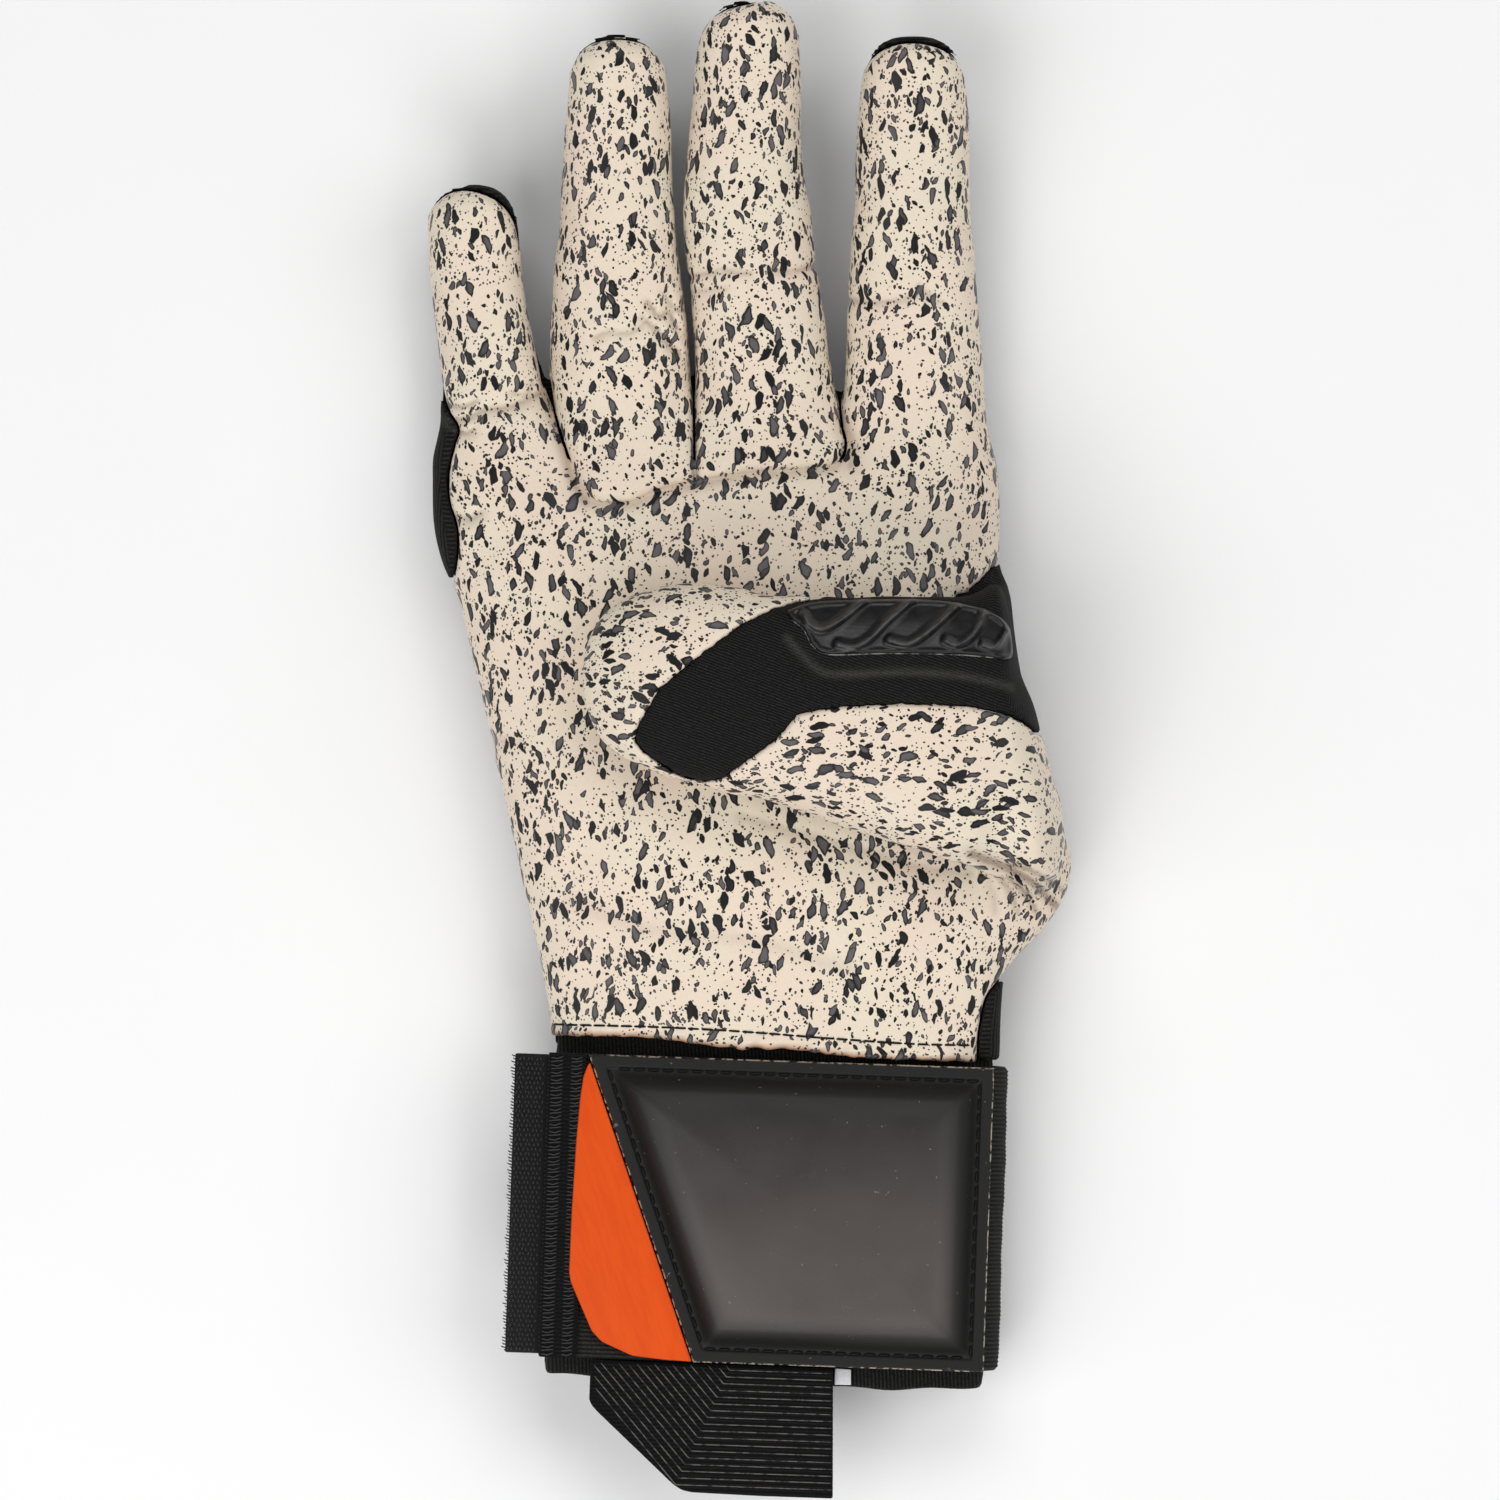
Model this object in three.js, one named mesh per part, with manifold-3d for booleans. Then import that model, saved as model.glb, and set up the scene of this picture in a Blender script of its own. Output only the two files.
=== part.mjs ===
import * as THREE from "three";
import { mergeVertices } from "three/addons/utils/BufferGeometryUtils.js";
import Module from "manifold-3d";

// A goalkeeper glove for the right hand, in millimetres with +Z up. It lies on its back with the palm up,
// the fingers along +Y and the thumb folded across the palm. While the pieces are made, y = 0 is the wrist,
// x = 0 runs up the middle finger and z = 0 is the underside. At the end the origin moves to the middle
// of the underside.

// Palm and thumb
const PALM_LENGTH = 127;
const PALM_WIDTH = 109;
const PALM_THICKNESS = 28;
const THUMB_REACH = 97.5;
const THUMB_WIDTH = 54;
const THUMB_THICKNESS = 20;

// Fingers
const INDEX_LENGTH = 89;
const MIDDLE_LENGTH = 95.4;
const RING_LENGTH = 89;
const LITTLE_LENGTH = 59.4;
const FINGER_WIDTH = 26;
const LITTLE_WIDTH = 19;
const FINGER_THICKNESS = 21;
const FINGER_CURL = 17;

// Walls
const LATEX_WALL = 4;
const BACK_WALL = 2.8;
const SIDE_WALL = 2.6;
const THUMB_WALL = 3;
const CUFF_WALL = 2.4;

// Wrist
const WRIST_TURN_DEG = 2;
const CUFF_WIDTH = 89;
const CUFF_THICKNESS = 17.2;
const CUFF_LENGTH = 66.8;
const CUFF_TUCK = 9;
const STRAP_THICKNESS = 2.2;
const HEM_SHOWING = 4;
const STRAP_LAP = 4;
const STRAP_EDGE = 0.8;
const HOOK_TAPE_WIDTH = 6.2;
const BINDING_WIDTH = 7.4;
const BINDING_INSET = 0.4;
const PAD_MARGIN = 3.2;
const PAD_SLANT = 23;
const PAD_BASE = 1.4;
const PAD_CROWN = 5.2;
const PAD_BORDER = 4.6;
const TRIM_THICKNESS = 1.2;
const TAB_WIDTH = 48.5;
const TAB_DROP = 26;
const TAB_THICKNESS = 1.8;
const LABEL_SIZE = 3.4;
const LABEL_THICKNESS = 0.6;
const RIB_PANEL_THICKNESS = 1.2;
const RIB_HEIGHT = 1.4;

// Clearances
const SEAM_GAP = 0.36;
const LAY_GAP = 0.4;
const WRIST_GAP = 2;

// How far a cutter reaches past what it cuts
const PAST = 60;

// The palm from the wrist to the finger roots. Along is a share of PALM_LENGTH, left and right are
// shares of PALM_WIDTH from x = 0, and bottom and top are shares of PALM_THICKNESS. The right side
// swells at the base of the thumb, and the end is rounded off between the fingers.
const PALM_ROWS = [
  // along, left, right, bottom, top
  [-0.08, -0.371, 0.459, 0, 0.86],
  [0.08, -0.375, 0.461, 0, 0.88],
  [0.142, -0.386, 0.488, 0, 0.92],
  [0.205, -0.402, 0.552, 0, 0.96],
  [0.268, -0.418, 0.584, 0, 0.98],
  [0.33, -0.434, 0.572, 0, 0.99],
  [0.457, -0.466, 0.527, 0, 1],
  [0.583, -0.501, 0.488, 0, 1],
  [0.71, -0.541, 0.469, 0, 0.96],
  [0.82, -0.57, 0.453, 0, 0.9],
  [0.9, -0.575, 0.446, 0, 0.84],
  [0.96, -0.57, 0.44, 0.02, 0.77],
  [1, -0.562, 0.434, 0.07, 0.68],
  [1.025, -0.545, 0.42, 0.16, 0.56],
];

// The thumb from its tip to its base. Along is a share of THUMB_REACH from the tip towards +X,
// low and high are shares of THUMB_WIDTH towards +Y from the thumb's lower line,
// and bottom and top are shares of THUMB_THICKNESS above the palm.
const THUMB_ROWS = [
  // along, low, high, bottom, top
  [0, 0.76, 0.93, 0.2, 0.5],
  [0.014, 0.67, 1.03, 0.1, 0.64],
  [0.045, 0.59, 1.1, 0.03, 0.78],
  [0.09, 0.535, 1.135, 0, 0.87],
  [0.16, 0.475, 1.19, 0, 0.93],
  [0.28, 0.42, 1.2, 0, 0.97],
  [0.44, 0.335, 1.16, 0, 1],
  [0.6, 0.255, 1.155, 0, 1],
  [0.7, 0.21, 1.155, 0, 0.98],
  [0.775, 0.165, 1.165, -0.2, 0.94],
  [0.84, 0.12, 1.24, -0.75, 0.84],
  [0.9, 0.075, 0.86, -1, 0.72],
  [0.945, 0.045, 0.66, -1, 0.58],
  [0.98, 0.05, 0.46, -0.92, 0.4],
  [1, 0.12, 0.31, -0.7, 0.1],
];

// One row for each finger: its root as a share of PALM_WIDTH, its lean in mm sideways for each mm
// along, and its joint crease as a share of its length.
const FINGERS = {
  index: {
    root: 0.301,
    lean: -0.002,
    crease: 0.42,
    length: INDEX_LENGTH,
    width: FINGER_WIDTH,
    rows: [
      // along, shift, width, height
      [-0.14, -0.04, 0.9, 0.9],
      [0.09, 0.02, 1.115, 1],
      [0.2, 0, 1.1, 1],
      [0.33, 0, 1.05, 1],
      [0.42, 0, 0.985, 0.97],
      [0.51, 0, 0.95, 1],
      [0.674, 0, 0.89, 1],
      [0.854, 0, 0.83, 0.97],
      [0.92, 0, 0.77, 0.9],
      [0.96, 0, 0.65, 0.76],
      [0.988, 0, 0.44, 0.54],
      [1, 0, 0.2, 0.26],
    ],
  },
  middle: {
    root: 0.0275,
    lean: -0.027,
    crease: 0.42,
    length: MIDDLE_LENGTH,
    width: FINGER_WIDTH,
    rows: [
      [-0.12, 0, 0.92, 0.9],
      [0.116, 0.03, 1.14, 1],
      [0.285, -0.015, 1.05, 1],
      [0.36, -0.04, 1.04, 1],
      [0.42, -0.05, 1.02, 0.97],
      [0.5, -0.075, 1.02, 1],
      [0.6, -0.08, 0.97, 1],
      [0.74, -0.065, 0.86, 1],
      [0.877, -0.04, 0.79, 0.95],
      [0.935, -0.025, 0.71, 0.86],
      [0.97, -0.014, 0.58, 0.7],
      [0.991, 0, 0.4, 0.48],
      [1, 0, 0.18, 0.22],
    ],
  },
  ring: {
    root: -0.241,
    lean: -0.001,
    crease: 0.33,
    length: RING_LENGTH,
    width: FINGER_WIDTH,
    rows: [
      [-0.12, 0.08, 0.86, 0.9],
      [0.09, 0.07, 1.015, 1],
      [0.18, 0.027, 1.1, 1],
      [0.27, 0, 1.1, 1],
      [0.33, 0, 1.07, 0.97],
      [0.42, 0, 1.02, 1],
      [0.63, -0.015, 0.877, 1],
      [0.81, 0, 0.81, 0.96],
      [0.9, 0, 0.73, 0.88],
      [0.95, 0, 0.62, 0.76],
      [0.985, 0, 0.42, 0.5],
      [1, 0, 0.19, 0.22],
    ],
  },
  little: {
    root: -0.459,
    lean: -0.101,
    crease: 0.22,
    length: LITTLE_LENGTH,
    width: LITTLE_WIDTH,
    rows: [
      [-0.2, 0.06, 1.1, 0.86],
      [0.02, 0.01, 1.27, 0.92],
      [0.14, 0.02, 1.25, 0.92],
      [0.22, 0.02, 1.18, 0.88],
      [0.32, 0.01, 1.13, 0.9],
      [0.473, -0.01, 1.03, 0.88],
      [0.62, -0.03, 0.98, 0.86],
      [0.82, -0.03, 0.97, 0.82],
      [0.9, -0.02, 0.9, 0.76],
      [0.955, 0, 0.74, 0.62],
      [0.988, 0, 0.48, 0.42],
      [1, 0, 0.22, 0.2],
    ],
  },
};

// Seams seen from above. Across is a share of PALM_WIDTH from x = 0. Along starts at the finger roots:
// it is a share of PALM_LENGTH towards the wrist and a share of MIDDLE_LENGTH towards the tips.
const RING_MIDDLE_SEAM = [
  // across, along
  [-0.101, -0.007],
  [-0.104, 0.16],
  [-0.109, 0.32],
  [-0.123, 0.453],
  [-0.128, 0.532],
  [-0.131, 1.07],
];
const RING_ROOT_SEAM = [
  [-0.384, 1.07],
  [-0.384, 0.293],
  [-0.371, 0.186],
  [-0.352, 0.112],
  [-0.338, 0.06],
  [-0.322, 0.007],
  [-0.306, -0.021],
  [-0.275, -0.04],
  [-0.22, -0.039],
  [-0.193, -0.029],
  [-0.156, -0.017],
  [-0.101, -0.007],
];
const MIDDLE_ROOT_SEAM = [
  [-0.101, -0.007],
  [-0.02, 0.004],
  [0.055, 0.013],
  [0.119, 0.018],
  [0.156, 0.028],
  [0.172, 0.047],
  [0.174, 0.08],
  [0.166, 0.133],
  [0.164, 0.293],
  [0.157, 1.07],
];

// The outer edge of the latex where the backhand shows beside the little finger's knuckle
const KNUCKLE_SEAM = [
  [-0.6, -0.22],
  [-0.552, -0.183],
  [-0.538, -0.12],
  [-0.536, -0.06],
  [-0.547, 0.033],
  [-0.566, 0.133],
  [-0.6, 0.213],
];

// The back of the thumb seen from above, in the thumb's own shares
const THUMB_BACK_SEAM = [
  [0.39, 1.5],
  [0.39, 1.11],
  [0.31, 1.04],
  [0.235, 0.93],
  [0.155, 0.8],
  [0.115, 0.66],
  [0.105, 0.59],
  [0.135, 0.545],
  [0.195, 0.475],
  [0.24, 0.455],
  [0.28, 0.46],
  [0.32, 0.51],
  [0.39, 0.605],
  [0.425, 0.675],
  [0.445, 0.705],
  [0.52, 0.727],
  [0.645, 0.738],
  [0.765, 0.73],
  [0.845, 0.705],
  [0.888, 0.67],
  [0.91, 0.63],
  [1.3, 0.6],
];

// The rubber grip panel on the back of the thumb, and its slanted ribs
const RIB_PANEL_OUTLINE = [
  [0.39, 1.082],
  [0.44, 1.107],
  [0.5, 1.128],
  [0.76, 1.132],
  [0.845, 1.1],
  [0.85, 0.9],
  [0.765, 0.917],
  [0.6, 0.935],
  [0.5, 0.93],
  [0.44, 0.975],
];
const RIB_COUNT = 5;
const RIB_FIRST = 0.47;
const RIB_LAST = 0.77;
const RIB_WIDTH = 0.028;
const RIB_LEAN = 0.075;

const wasm = await Module();
wasm.setup();

// A closed three.js geometry as a solid that can be cut and joined
function solidOf(geometry) {
  const bare = geometry.clone();
  bare.deleteAttribute("normal");
  bare.deleteAttribute("uv");
  const merged = mergeVertices(bare, 1e-4);
  return new wasm.Manifold(
    new wasm.Mesh({
      numProp: 3,
      vertProperties: new Float32Array(merged.attributes.position.array),
      triVerts: new Uint32Array(merged.index.array),
    }),
  );
}

// A solid back as a geometry, flat shaded
function geometryOf(solid) {
  const mesh = solid.getMesh();
  const geometry = new THREE.BufferGeometry();
  geometry.setAttribute("position", new THREE.BufferAttribute(mesh.vertProperties, 3));
  geometry.setIndex(new THREE.BufferAttribute(mesh.triVerts, 1));
  const faceted = geometry.toNonIndexed();
  faceted.computeVertexNormals();
  return faceted;
}

// Signed volume of an indexed surface, which is negative when its faces point inwards
function signedVolume(points, index) {
  const [a, b, c] = [new THREE.Vector3(), new THREE.Vector3(), new THREE.Vector3()];
  let volume = 0;
  for (let i = 0; i < index.length; i += 3) {
    a.fromArray(points, 3 * index[i]);
    b.fromArray(points, 3 * index[i + 1]);
    c.fromArray(points, 3 * index[i + 2]);
    volume += a.dot(b.cross(c)) / 6;
  }
  return volume;
}

// A skin over rings of equal count, closed at both ends by a fan
function loft(rings) {
  const count = rings[0].length;
  const points = rings.flat().flatMap((p) => [p.x, p.y, p.z]);
  const index = [];
  for (let r = 0; r < rings.length - 1; r += 1) {
    for (let i = 0; i < count; i += 1) {
      const near = r * count + i;
      const next = r * count + ((i + 1) % count);
      index.push(near, next, near + count, next, next + count, near + count);
    }
  }
  for (const [ring, turn] of [[0, 1], [rings.length - 1, -1]]) {
    const middle = new THREE.Vector3();
    rings[ring].forEach((p) => middle.add(p));
    middle.divideScalar(count);
    const hub = points.length / 3;
    points.push(middle.x, middle.y, middle.z);
    for (let i = 0; i < count; i += 1) {
      const near = ring * count + i;
      const next = ring * count + ((i + 1) % count);
      index.push(...(turn > 0 ? [near, hub, next] : [next, hub, near]));
    }
  }
  if (signedVolume(points, index) < 0) index.reverse();
  const geometry = new THREE.BufferGeometry();
  geometry.setAttribute("position", new THREE.Float32BufferAttribute(points, 3));
  geometry.setIndex(index);
  return solidOf(geometry);
}

// One cross-section as [across, up] pairs. Square is 2 for an ellipse and more for fuller corners.
// Flat presses that share of the half height level, at the bottom of what lies on the ground.
function section({ low, high, bottom, top }, { count, square, flat = 0 }) {
  const points = [];
  for (let i = 0; i < count; i += 1) {
    const angle = (2 * Math.PI * (i + 0.5)) / count;
    const cos = Math.cos(angle);
    const sin = Math.sin(angle);
    const across = Math.sign(cos) * Math.abs(cos) ** (2 / square);
    let up = Math.sign(sin) * Math.abs(sin) ** (2 / square);
    up = Math.max(up * (sin < 0 ? 1 + flat : 1), -1);
    points.push([
      (low + high) / 2 + (across * (high - low)) / 2,
      (bottom + top) / 2 + (up * (top - bottom)) / 2,
    ]);
  }
  return points;
}

// A loft along Y through sections that lie across X, or along X through sections that lie across Y
function loftAlongY(rows, shape) {
  return loft(rows.map((row) => section(row, shape).map(([x, z]) => new THREE.Vector3(x, row.at, z))));
}
function loftAlongX(rows, shape) {
  return loft(rows.map((row) => section(row, shape).map(([y, z]) => new THREE.Vector3(row.at, y, z))));
}

// The same rows grown on every side, or shrunk where grow is negative
function grownRows(rows, grow) {
  return rows.map((row) => ({
    at: row.at,
    low: row.low - grow,
    high: row.high + grow,
    bottom: row.bottom - grow,
    top: row.top + grow,
  }));
}

// The hollow inside rows of sections: each wall taken off, its closed ends rounded off a wall's
// thickness short, and its open end run on by the named length
function hollowRows(rows, walls, { startOpen = false, endOpen = false } = {}) {
  const first = rows[0].at + (startOpen ? 0 : walls.end);
  const last = rows[rows.length - 1].at - (endOpen ? 0 : walls.end);
  const inner = rows.map((row) => ({
    at: row.at,
    low: row.low + walls.side,
    high: row.high - walls.side,
    bottom: row.bottom + walls.bottom,
    top: row.top - walls.top,
  }));
  const kept = inner.filter(
    (row) =>
      row.at > first + (startOpen ? -1 : walls.end / 2) &&
      row.at < last - (endOpen ? -1 : walls.end / 2) &&
      row.high - row.low > 2 &&
      row.top - row.bottom > 2,
  );
  const closing = (row, at) => ({
    at,
    low: row.low + (row.high - row.low) * 0.22,
    high: row.high - (row.high - row.low) * 0.22,
    bottom: row.bottom + (row.top - row.bottom) * 0.2,
    top: row.top - (row.top - row.bottom) * 0.2,
  });
  const start = startOpen ? [] : [closing(kept[0], first)];
  const end = endOpen ? [] : [closing(kept[kept.length - 1], last)];
  return [...start, ...kept, ...end];
}

// An upright prism over an outline of [x, y] pairs
function prism(outline, low, high) {
  const shape = new THREE.Shape(outline.map(([x, y]) => new THREE.Vector2(x, y)));
  const geometry = new THREE.ExtrudeGeometry(shape, { depth: high - low, bevelEnabled: false });
  geometry.translate(0, 0, low);
  return solidOf(geometry);
}

// A plain block between two places along each axis
function box(left, right, low, high, bottom, top) {
  return prism(
    [
      [left, low],
      [right, low],
      [right, high],
      [left, high],
    ],
    bottom,
    top,
  );
}

// A prism along X over a side outline of [y, z] pairs
function sidePrism(outline, low, high) {
  const shape = new THREE.Shape(outline.map(([y, z]) => new THREE.Vector2(y, z)));
  const geometry = new THREE.ExtrudeGeometry(shape, { depth: high - low, bevelEnabled: false });
  geometry.translate(0, 0, low);
  const [x, y, z] = [new THREE.Vector3(1, 0, 0), new THREE.Vector3(0, 1, 0), new THREE.Vector3(0, 0, 1)];
  geometry.applyMatrix4(new THREE.Matrix4().makeBasis(y, z, x));
  return solidOf(geometry);
}

// The outline of a band of even width along a line
function band(line, width) {
  const offset = (side) =>
    line.map(([x, y], i) => {
      const before = line[Math.max(i - 1, 0)];
      const after = line[Math.min(i + 1, line.length - 1)];
      const length = Math.hypot(after[0] - before[0], after[1] - before[1]);
      const reach = (side * width) / 2 / length;
      return [x - (after[1] - before[1]) * reach, y + (after[0] - before[0]) * reach];
    });
  return [...offset(1), ...offset(-1).reverse()];
}

// Places worked out from the sizes
const rootY = 0.9 * PALM_LENGTH;
const palmCrown = PALM_THICKNESS;
const thumbFloor = palmCrown + LAY_GAP;
const thumbTipX = -0.305 * PALM_WIDTH;
const thumbLowY = 0.213 * PALM_LENGTH;
const strapTop = CUFF_THICKNESS + 2 * (STRAP_THICKNESS + SEAM_GAP);
const cuffBottom = STRAP_THICKNESS + SEAM_GAP;
const palmShares = ([x, y]) => [x * PALM_WIDTH, rootY + y * (y < 0 ? PALM_LENGTH : MIDDLE_LENGTH)];
const thumbShares = ([x, y]) => [thumbTipX + x * THUMB_REACH, thumbLowY + y * THUMB_WIDTH];

// How high the fingers curl off the ground, and how thick they are, at a place along the hand
const LONGEST = Math.max(INDEX_LENGTH, MIDDLE_LENGTH, RING_LENGTH, LITTLE_LENGTH);
const ROOT_LIFT = 0.4;
function liftAt(y) {
  return ROOT_LIFT + FINGER_CURL * (Math.max(y - rootY, 0) / LONGEST) ** 1.7;
}
function thicknessAt(y) {
  return FINGER_THICKNESS * (1 - 0.26 * Math.min(Math.max(y - rootY, 0) / LONGEST, 1));
}

// The seam between backhand and latex, as a height
function partingAt(y) {
  const palmPart = 0.4 * FINGER_THICKNESS;
  return y < rootY ? palmPart : liftAt(y) + 0.38 * thicknessAt(y);
}

const PALM_SHAPE = { count: 26, square: 3, flat: 0.09 };
const FINGER_SHAPE = { count: 14, square: 2.3 };
const THUMB_SHAPE = { count: 16, square: 2.3 };
const CUFF_SHAPE = { count: 28, square: 3 };

const palmRows = PALM_ROWS.map(([along, left, right, bottom, top]) => ({
  at: along * PALM_LENGTH,
  low: left * PALM_WIDTH,
  high: right * PALM_WIDTH,
  bottom: bottom * PALM_THICKNESS,
  top: top * PALM_THICKNESS,
}));

const thumbRows = THUMB_ROWS.map(([along, low, high, bottom, top]) => ({
  at: thumbTipX + along * THUMB_REACH,
  low: thumbLowY + low * THUMB_WIDTH,
  high: thumbLowY + high * THUMB_WIDTH,
  bottom: thumbFloor + bottom * THUMB_THICKNESS,
  top: thumbFloor + top * THUMB_THICKNESS,
}));

function fingerRows({ root, lean, crease, length, width, rows }) {
  const dent = 0.09;
  return rows.map(([along, shift, wide, height]) => {
    const at = rootY + along * length;
    const middle = root * PALM_WIDTH + lean * along * length + shift * width;
    const thickness = thicknessAt(at);
    const centre = liftAt(at) + (Math.min(height / 0.9, 1) * thickness) / 2;
    const dip = along === crease ? dent * thickness : 0;
    return {
      at,
      low: middle - (wide * width) / 2,
      high: middle + (wide * width) / 2,
      bottom: centre - (height * thickness) / 2,
      top: centre + (height * thickness) / 2 - dip,
    };
  });
}

const cuffRows = [
  // along, width, thickness
  [CUFF_TUCK, 0.915, 0.95],
  [0, 0.955, 1],
  [-0.12 * CUFF_LENGTH, 0.99, 1],
  [-0.6 * CUFF_LENGTH, 1, 1],
  [-CUFF_LENGTH, 0.985, 1],
].map(([at, wide, thick]) => ({
  at,
  low: (-wide * CUFF_WIDTH) / 2,
  high: (wide * CUFF_WIDTH) / 2,
  bottom: cuffBottom + ((1 - thick) * CUFF_THICKNESS) / 2,
  top: cuffBottom + ((1 + thick) * CUFF_THICKNESS) / 2,
}));

// The wrist parts are turned a little against the hand
const wristFrame = new THREE.Matrix4()
  .makeRotationZ(THREE.MathUtils.degToRad(-WRIST_TURN_DEG))
  .setPosition(0.046 * PALM_WIDTH, 0, 0);
const inWristFrame = (solid) => solid.transform(wristFrame.toArray());

// The whole hand: outer form, hollow, and the shell between them
function handShell() {
  const fingers = Object.values(FINGERS).map(fingerRows);
  const thumb = loftAlongX(thumbRows, THUMB_SHAPE);
  let outer = loftAlongY(palmRows, PALM_SHAPE).add(thumb);
  const palmWalls = { side: SIDE_WALL, bottom: BACK_WALL, top: LATEX_WALL, end: SIDE_WALL };
  const thumbWalls = { side: THUMB_WALL, bottom: THUMB_WALL, top: THUMB_WALL, end: THUMB_WALL };
  let hollow = loftAlongY(hollowRows(palmRows, palmWalls, { startOpen: true }), PALM_SHAPE);
  hollow = hollow.add(loftAlongX(hollowRows(thumbRows, thumbWalls), THUMB_SHAPE));
  for (const rows of fingers) {
    outer = outer.add(loftAlongY(rows, FINGER_SHAPE));
    hollow = hollow.add(loftAlongY(hollowRows(rows, palmWalls, { startOpen: true }), FINGER_SHAPE));
  }
  const wristCut = prism(
    [
      [-PALM_WIDTH, 0],
      [-PALM_WIDTH, -PAST],
      [PALM_WIDTH, -PAST],
      [PALM_WIDTH, 0],
    ],
    -PAST,
    PAST,
  );
  const cuffRoom = loftAlongY(grownRows(cuffRows, SEAM_GAP), CUFF_SHAPE);
  const slit = prism(band(RING_MIDDLE_SEAM.slice(1).map(palmShares), SEAM_GAP), -PAST, 2 * PAST);
  return outer.subtract(hollow).subtract(inWristFrame(wristCut.add(cuffRoom))).subtract(slit);
}

// Everything under the seam height, drawn from the side
function belowSeam(offset) {
  const stations = [-PAST, rootY - 1e-3];
  for (let i = 0; i <= 10; i += 1) stations.push(rootY + (i / 10) * LONGEST * 1.1);
  const line = stations.map((y) => [y, partingAt(y) + offset]);
  return [...line, [line[line.length - 1][0], -PAST], [-PAST, -PAST]];
}

// The outline on the far side of a seam, closed beyond the glove towards x = side
function regionBeside(seam, side) {
  return [...seam, [side, seam[seam.length - 1][1]], [side, seam[0][1]]];
}

function handPieces() {
  const shell = handShell();
  const wide = 2 * PALM_WIDTH;
  const under = sidePrism(belowSeam(-SEAM_GAP / 2), -wide, wide);
  const aboveCut = sidePrism(belowSeam(SEAM_GAP / 2), -wide, wide);
  const knuckle = KNUCKLE_SEAM.map(palmShares);
  const knuckleBack = prism(regionBeside(knuckle, -wide), -PAST, PAST);
  const knuckleGroove = prism(band(knuckle, SEAM_GAP), -PAST, PAST);

  // The backhand is all that lies under the seam, with the side of the little finger's knuckle
  const front = shell.subtract(aboveCut).subtract(knuckleGroove);
  const knuckleSide = shell.subtract(knuckleGroove).intersect(knuckleBack);
  const backhand = shell.intersect(under).add(knuckleSide);

  // The thumb is what lies inside its own form
  const thumbForm = loftAlongX(thumbRows, THUMB_SHAPE);
  const thumbRoom = loftAlongX(grownRows(thumbRows, SEAM_GAP), THUMB_SHAPE);
  const thumb = front.intersect(thumbForm);
  const handFront = front.subtract(knuckleBack).subtract(thumbRoom);

  // The middle and ring fronts are cut out along their root seams
  const dividing = RING_MIDDLE_SEAM.map(palmShares);
  const ringRoot = RING_ROOT_SEAM.map(palmShares);
  const middleRoot = MIDDLE_ROOT_SEAM.map(palmShares);
  const ringRegion = prism([...ringRoot, ...dividing.slice(1)], -PAST, 2 * PAST);
  const middleRegion = prism([...middleRoot, ...dividing.slice(1).reverse()], -PAST, 2 * PAST);
  let grooves = prism(band(ringRoot, SEAM_GAP), -PAST, 2 * PAST);
  grooves = grooves.add(prism(band(middleRoot, SEAM_GAP), -PAST, 2 * PAST));
  grooves = grooves.add(prism(band(dividing, SEAM_GAP), -PAST, 2 * PAST));
  const seamed = handFront.subtract(grooves);

  // The thumb's back is cut out along its own seam, as deep as the backhand beside the palm's edge
  const backSeam = THUMB_BACK_SEAM.map(thumbShares);
  const backOutline = prism(
    [...backSeam, [backSeam[backSeam.length - 1][0], backSeam[0][1]]],
    -PAST,
    2 * PAST,
  );
  const backGroove = prism(band(backSeam, SEAM_GAP), -PAST, 2 * PAST);
  const shallow = thumbFloor + 0.3 * THUMB_THICKNESS;
  const sideX = thumbTipX + 0.8 * THUMB_REACH;
  const deepPart = (gap) =>
    box(-wide, wide, -wide, wide, shallow - gap, 2 * PAST).add(
      box(sideX - gap, wide, -wide, wide, -PAST, 2 * PAST),
    );
  const backPart = backOutline.subtract(backGroove).intersect(deepPart(0));
  const backRoom = backOutline.add(backGroove).intersect(deepPart(SEAM_GAP));

  return {
    backhand,
    palm_latex: seamed.subtract(ringRegion).subtract(middleRegion),
    middle_finger_latex: seamed.intersect(middleRegion),
    ring_finger_latex: seamed.intersect(ringRegion),
    thumb_back_fabric: thumb.intersect(backPart),
    thumb_latex: thumb.subtract(backRoom),
  };
}

// The grip panel is a skin on the thumb's back, with slanted ribs standing on it
function thumbGripRibs() {
  const skin = (from, to) =>
    loftAlongX(grownRows(thumbRows, to), THUMB_SHAPE).subtract(
      loftAlongX(grownRows(thumbRows, from), THUMB_SHAPE),
    );
  const floor = thumbFloor + 0.45 * THUMB_THICKNESS;
  const outline = RIB_PANEL_OUTLINE.map(thumbShares);
  const panelTop = SEAM_GAP + RIB_PANEL_THICKNESS;
  const panel = prism(outline, floor, 2 * PAST);
  let ribs = skin(SEAM_GAP, panelTop).intersect(panel);
  for (let i = 0; i < RIB_COUNT; i += 1) {
    const foot = RIB_FIRST + ((RIB_LAST - RIB_FIRST) * i) / (RIB_COUNT - 1);
    const rib = [
      [foot - RIB_WIDTH / 2, 0.94],
      [foot + RIB_WIDTH / 2, 0.94],
      [foot + RIB_WIDTH / 2 + RIB_LEAN, 1.3],
      [foot - RIB_WIDTH / 2 + RIB_LEAN, 1.3],
    ].map(thumbShares);
    const bar = prism(rib, floor, 2 * PAST).intersect(panel);
    ribs = ribs.add(skin(SEAM_GAP, panelTop + RIB_HEIGHT).intersect(bar));
  }
  return ribs;
}

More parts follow.
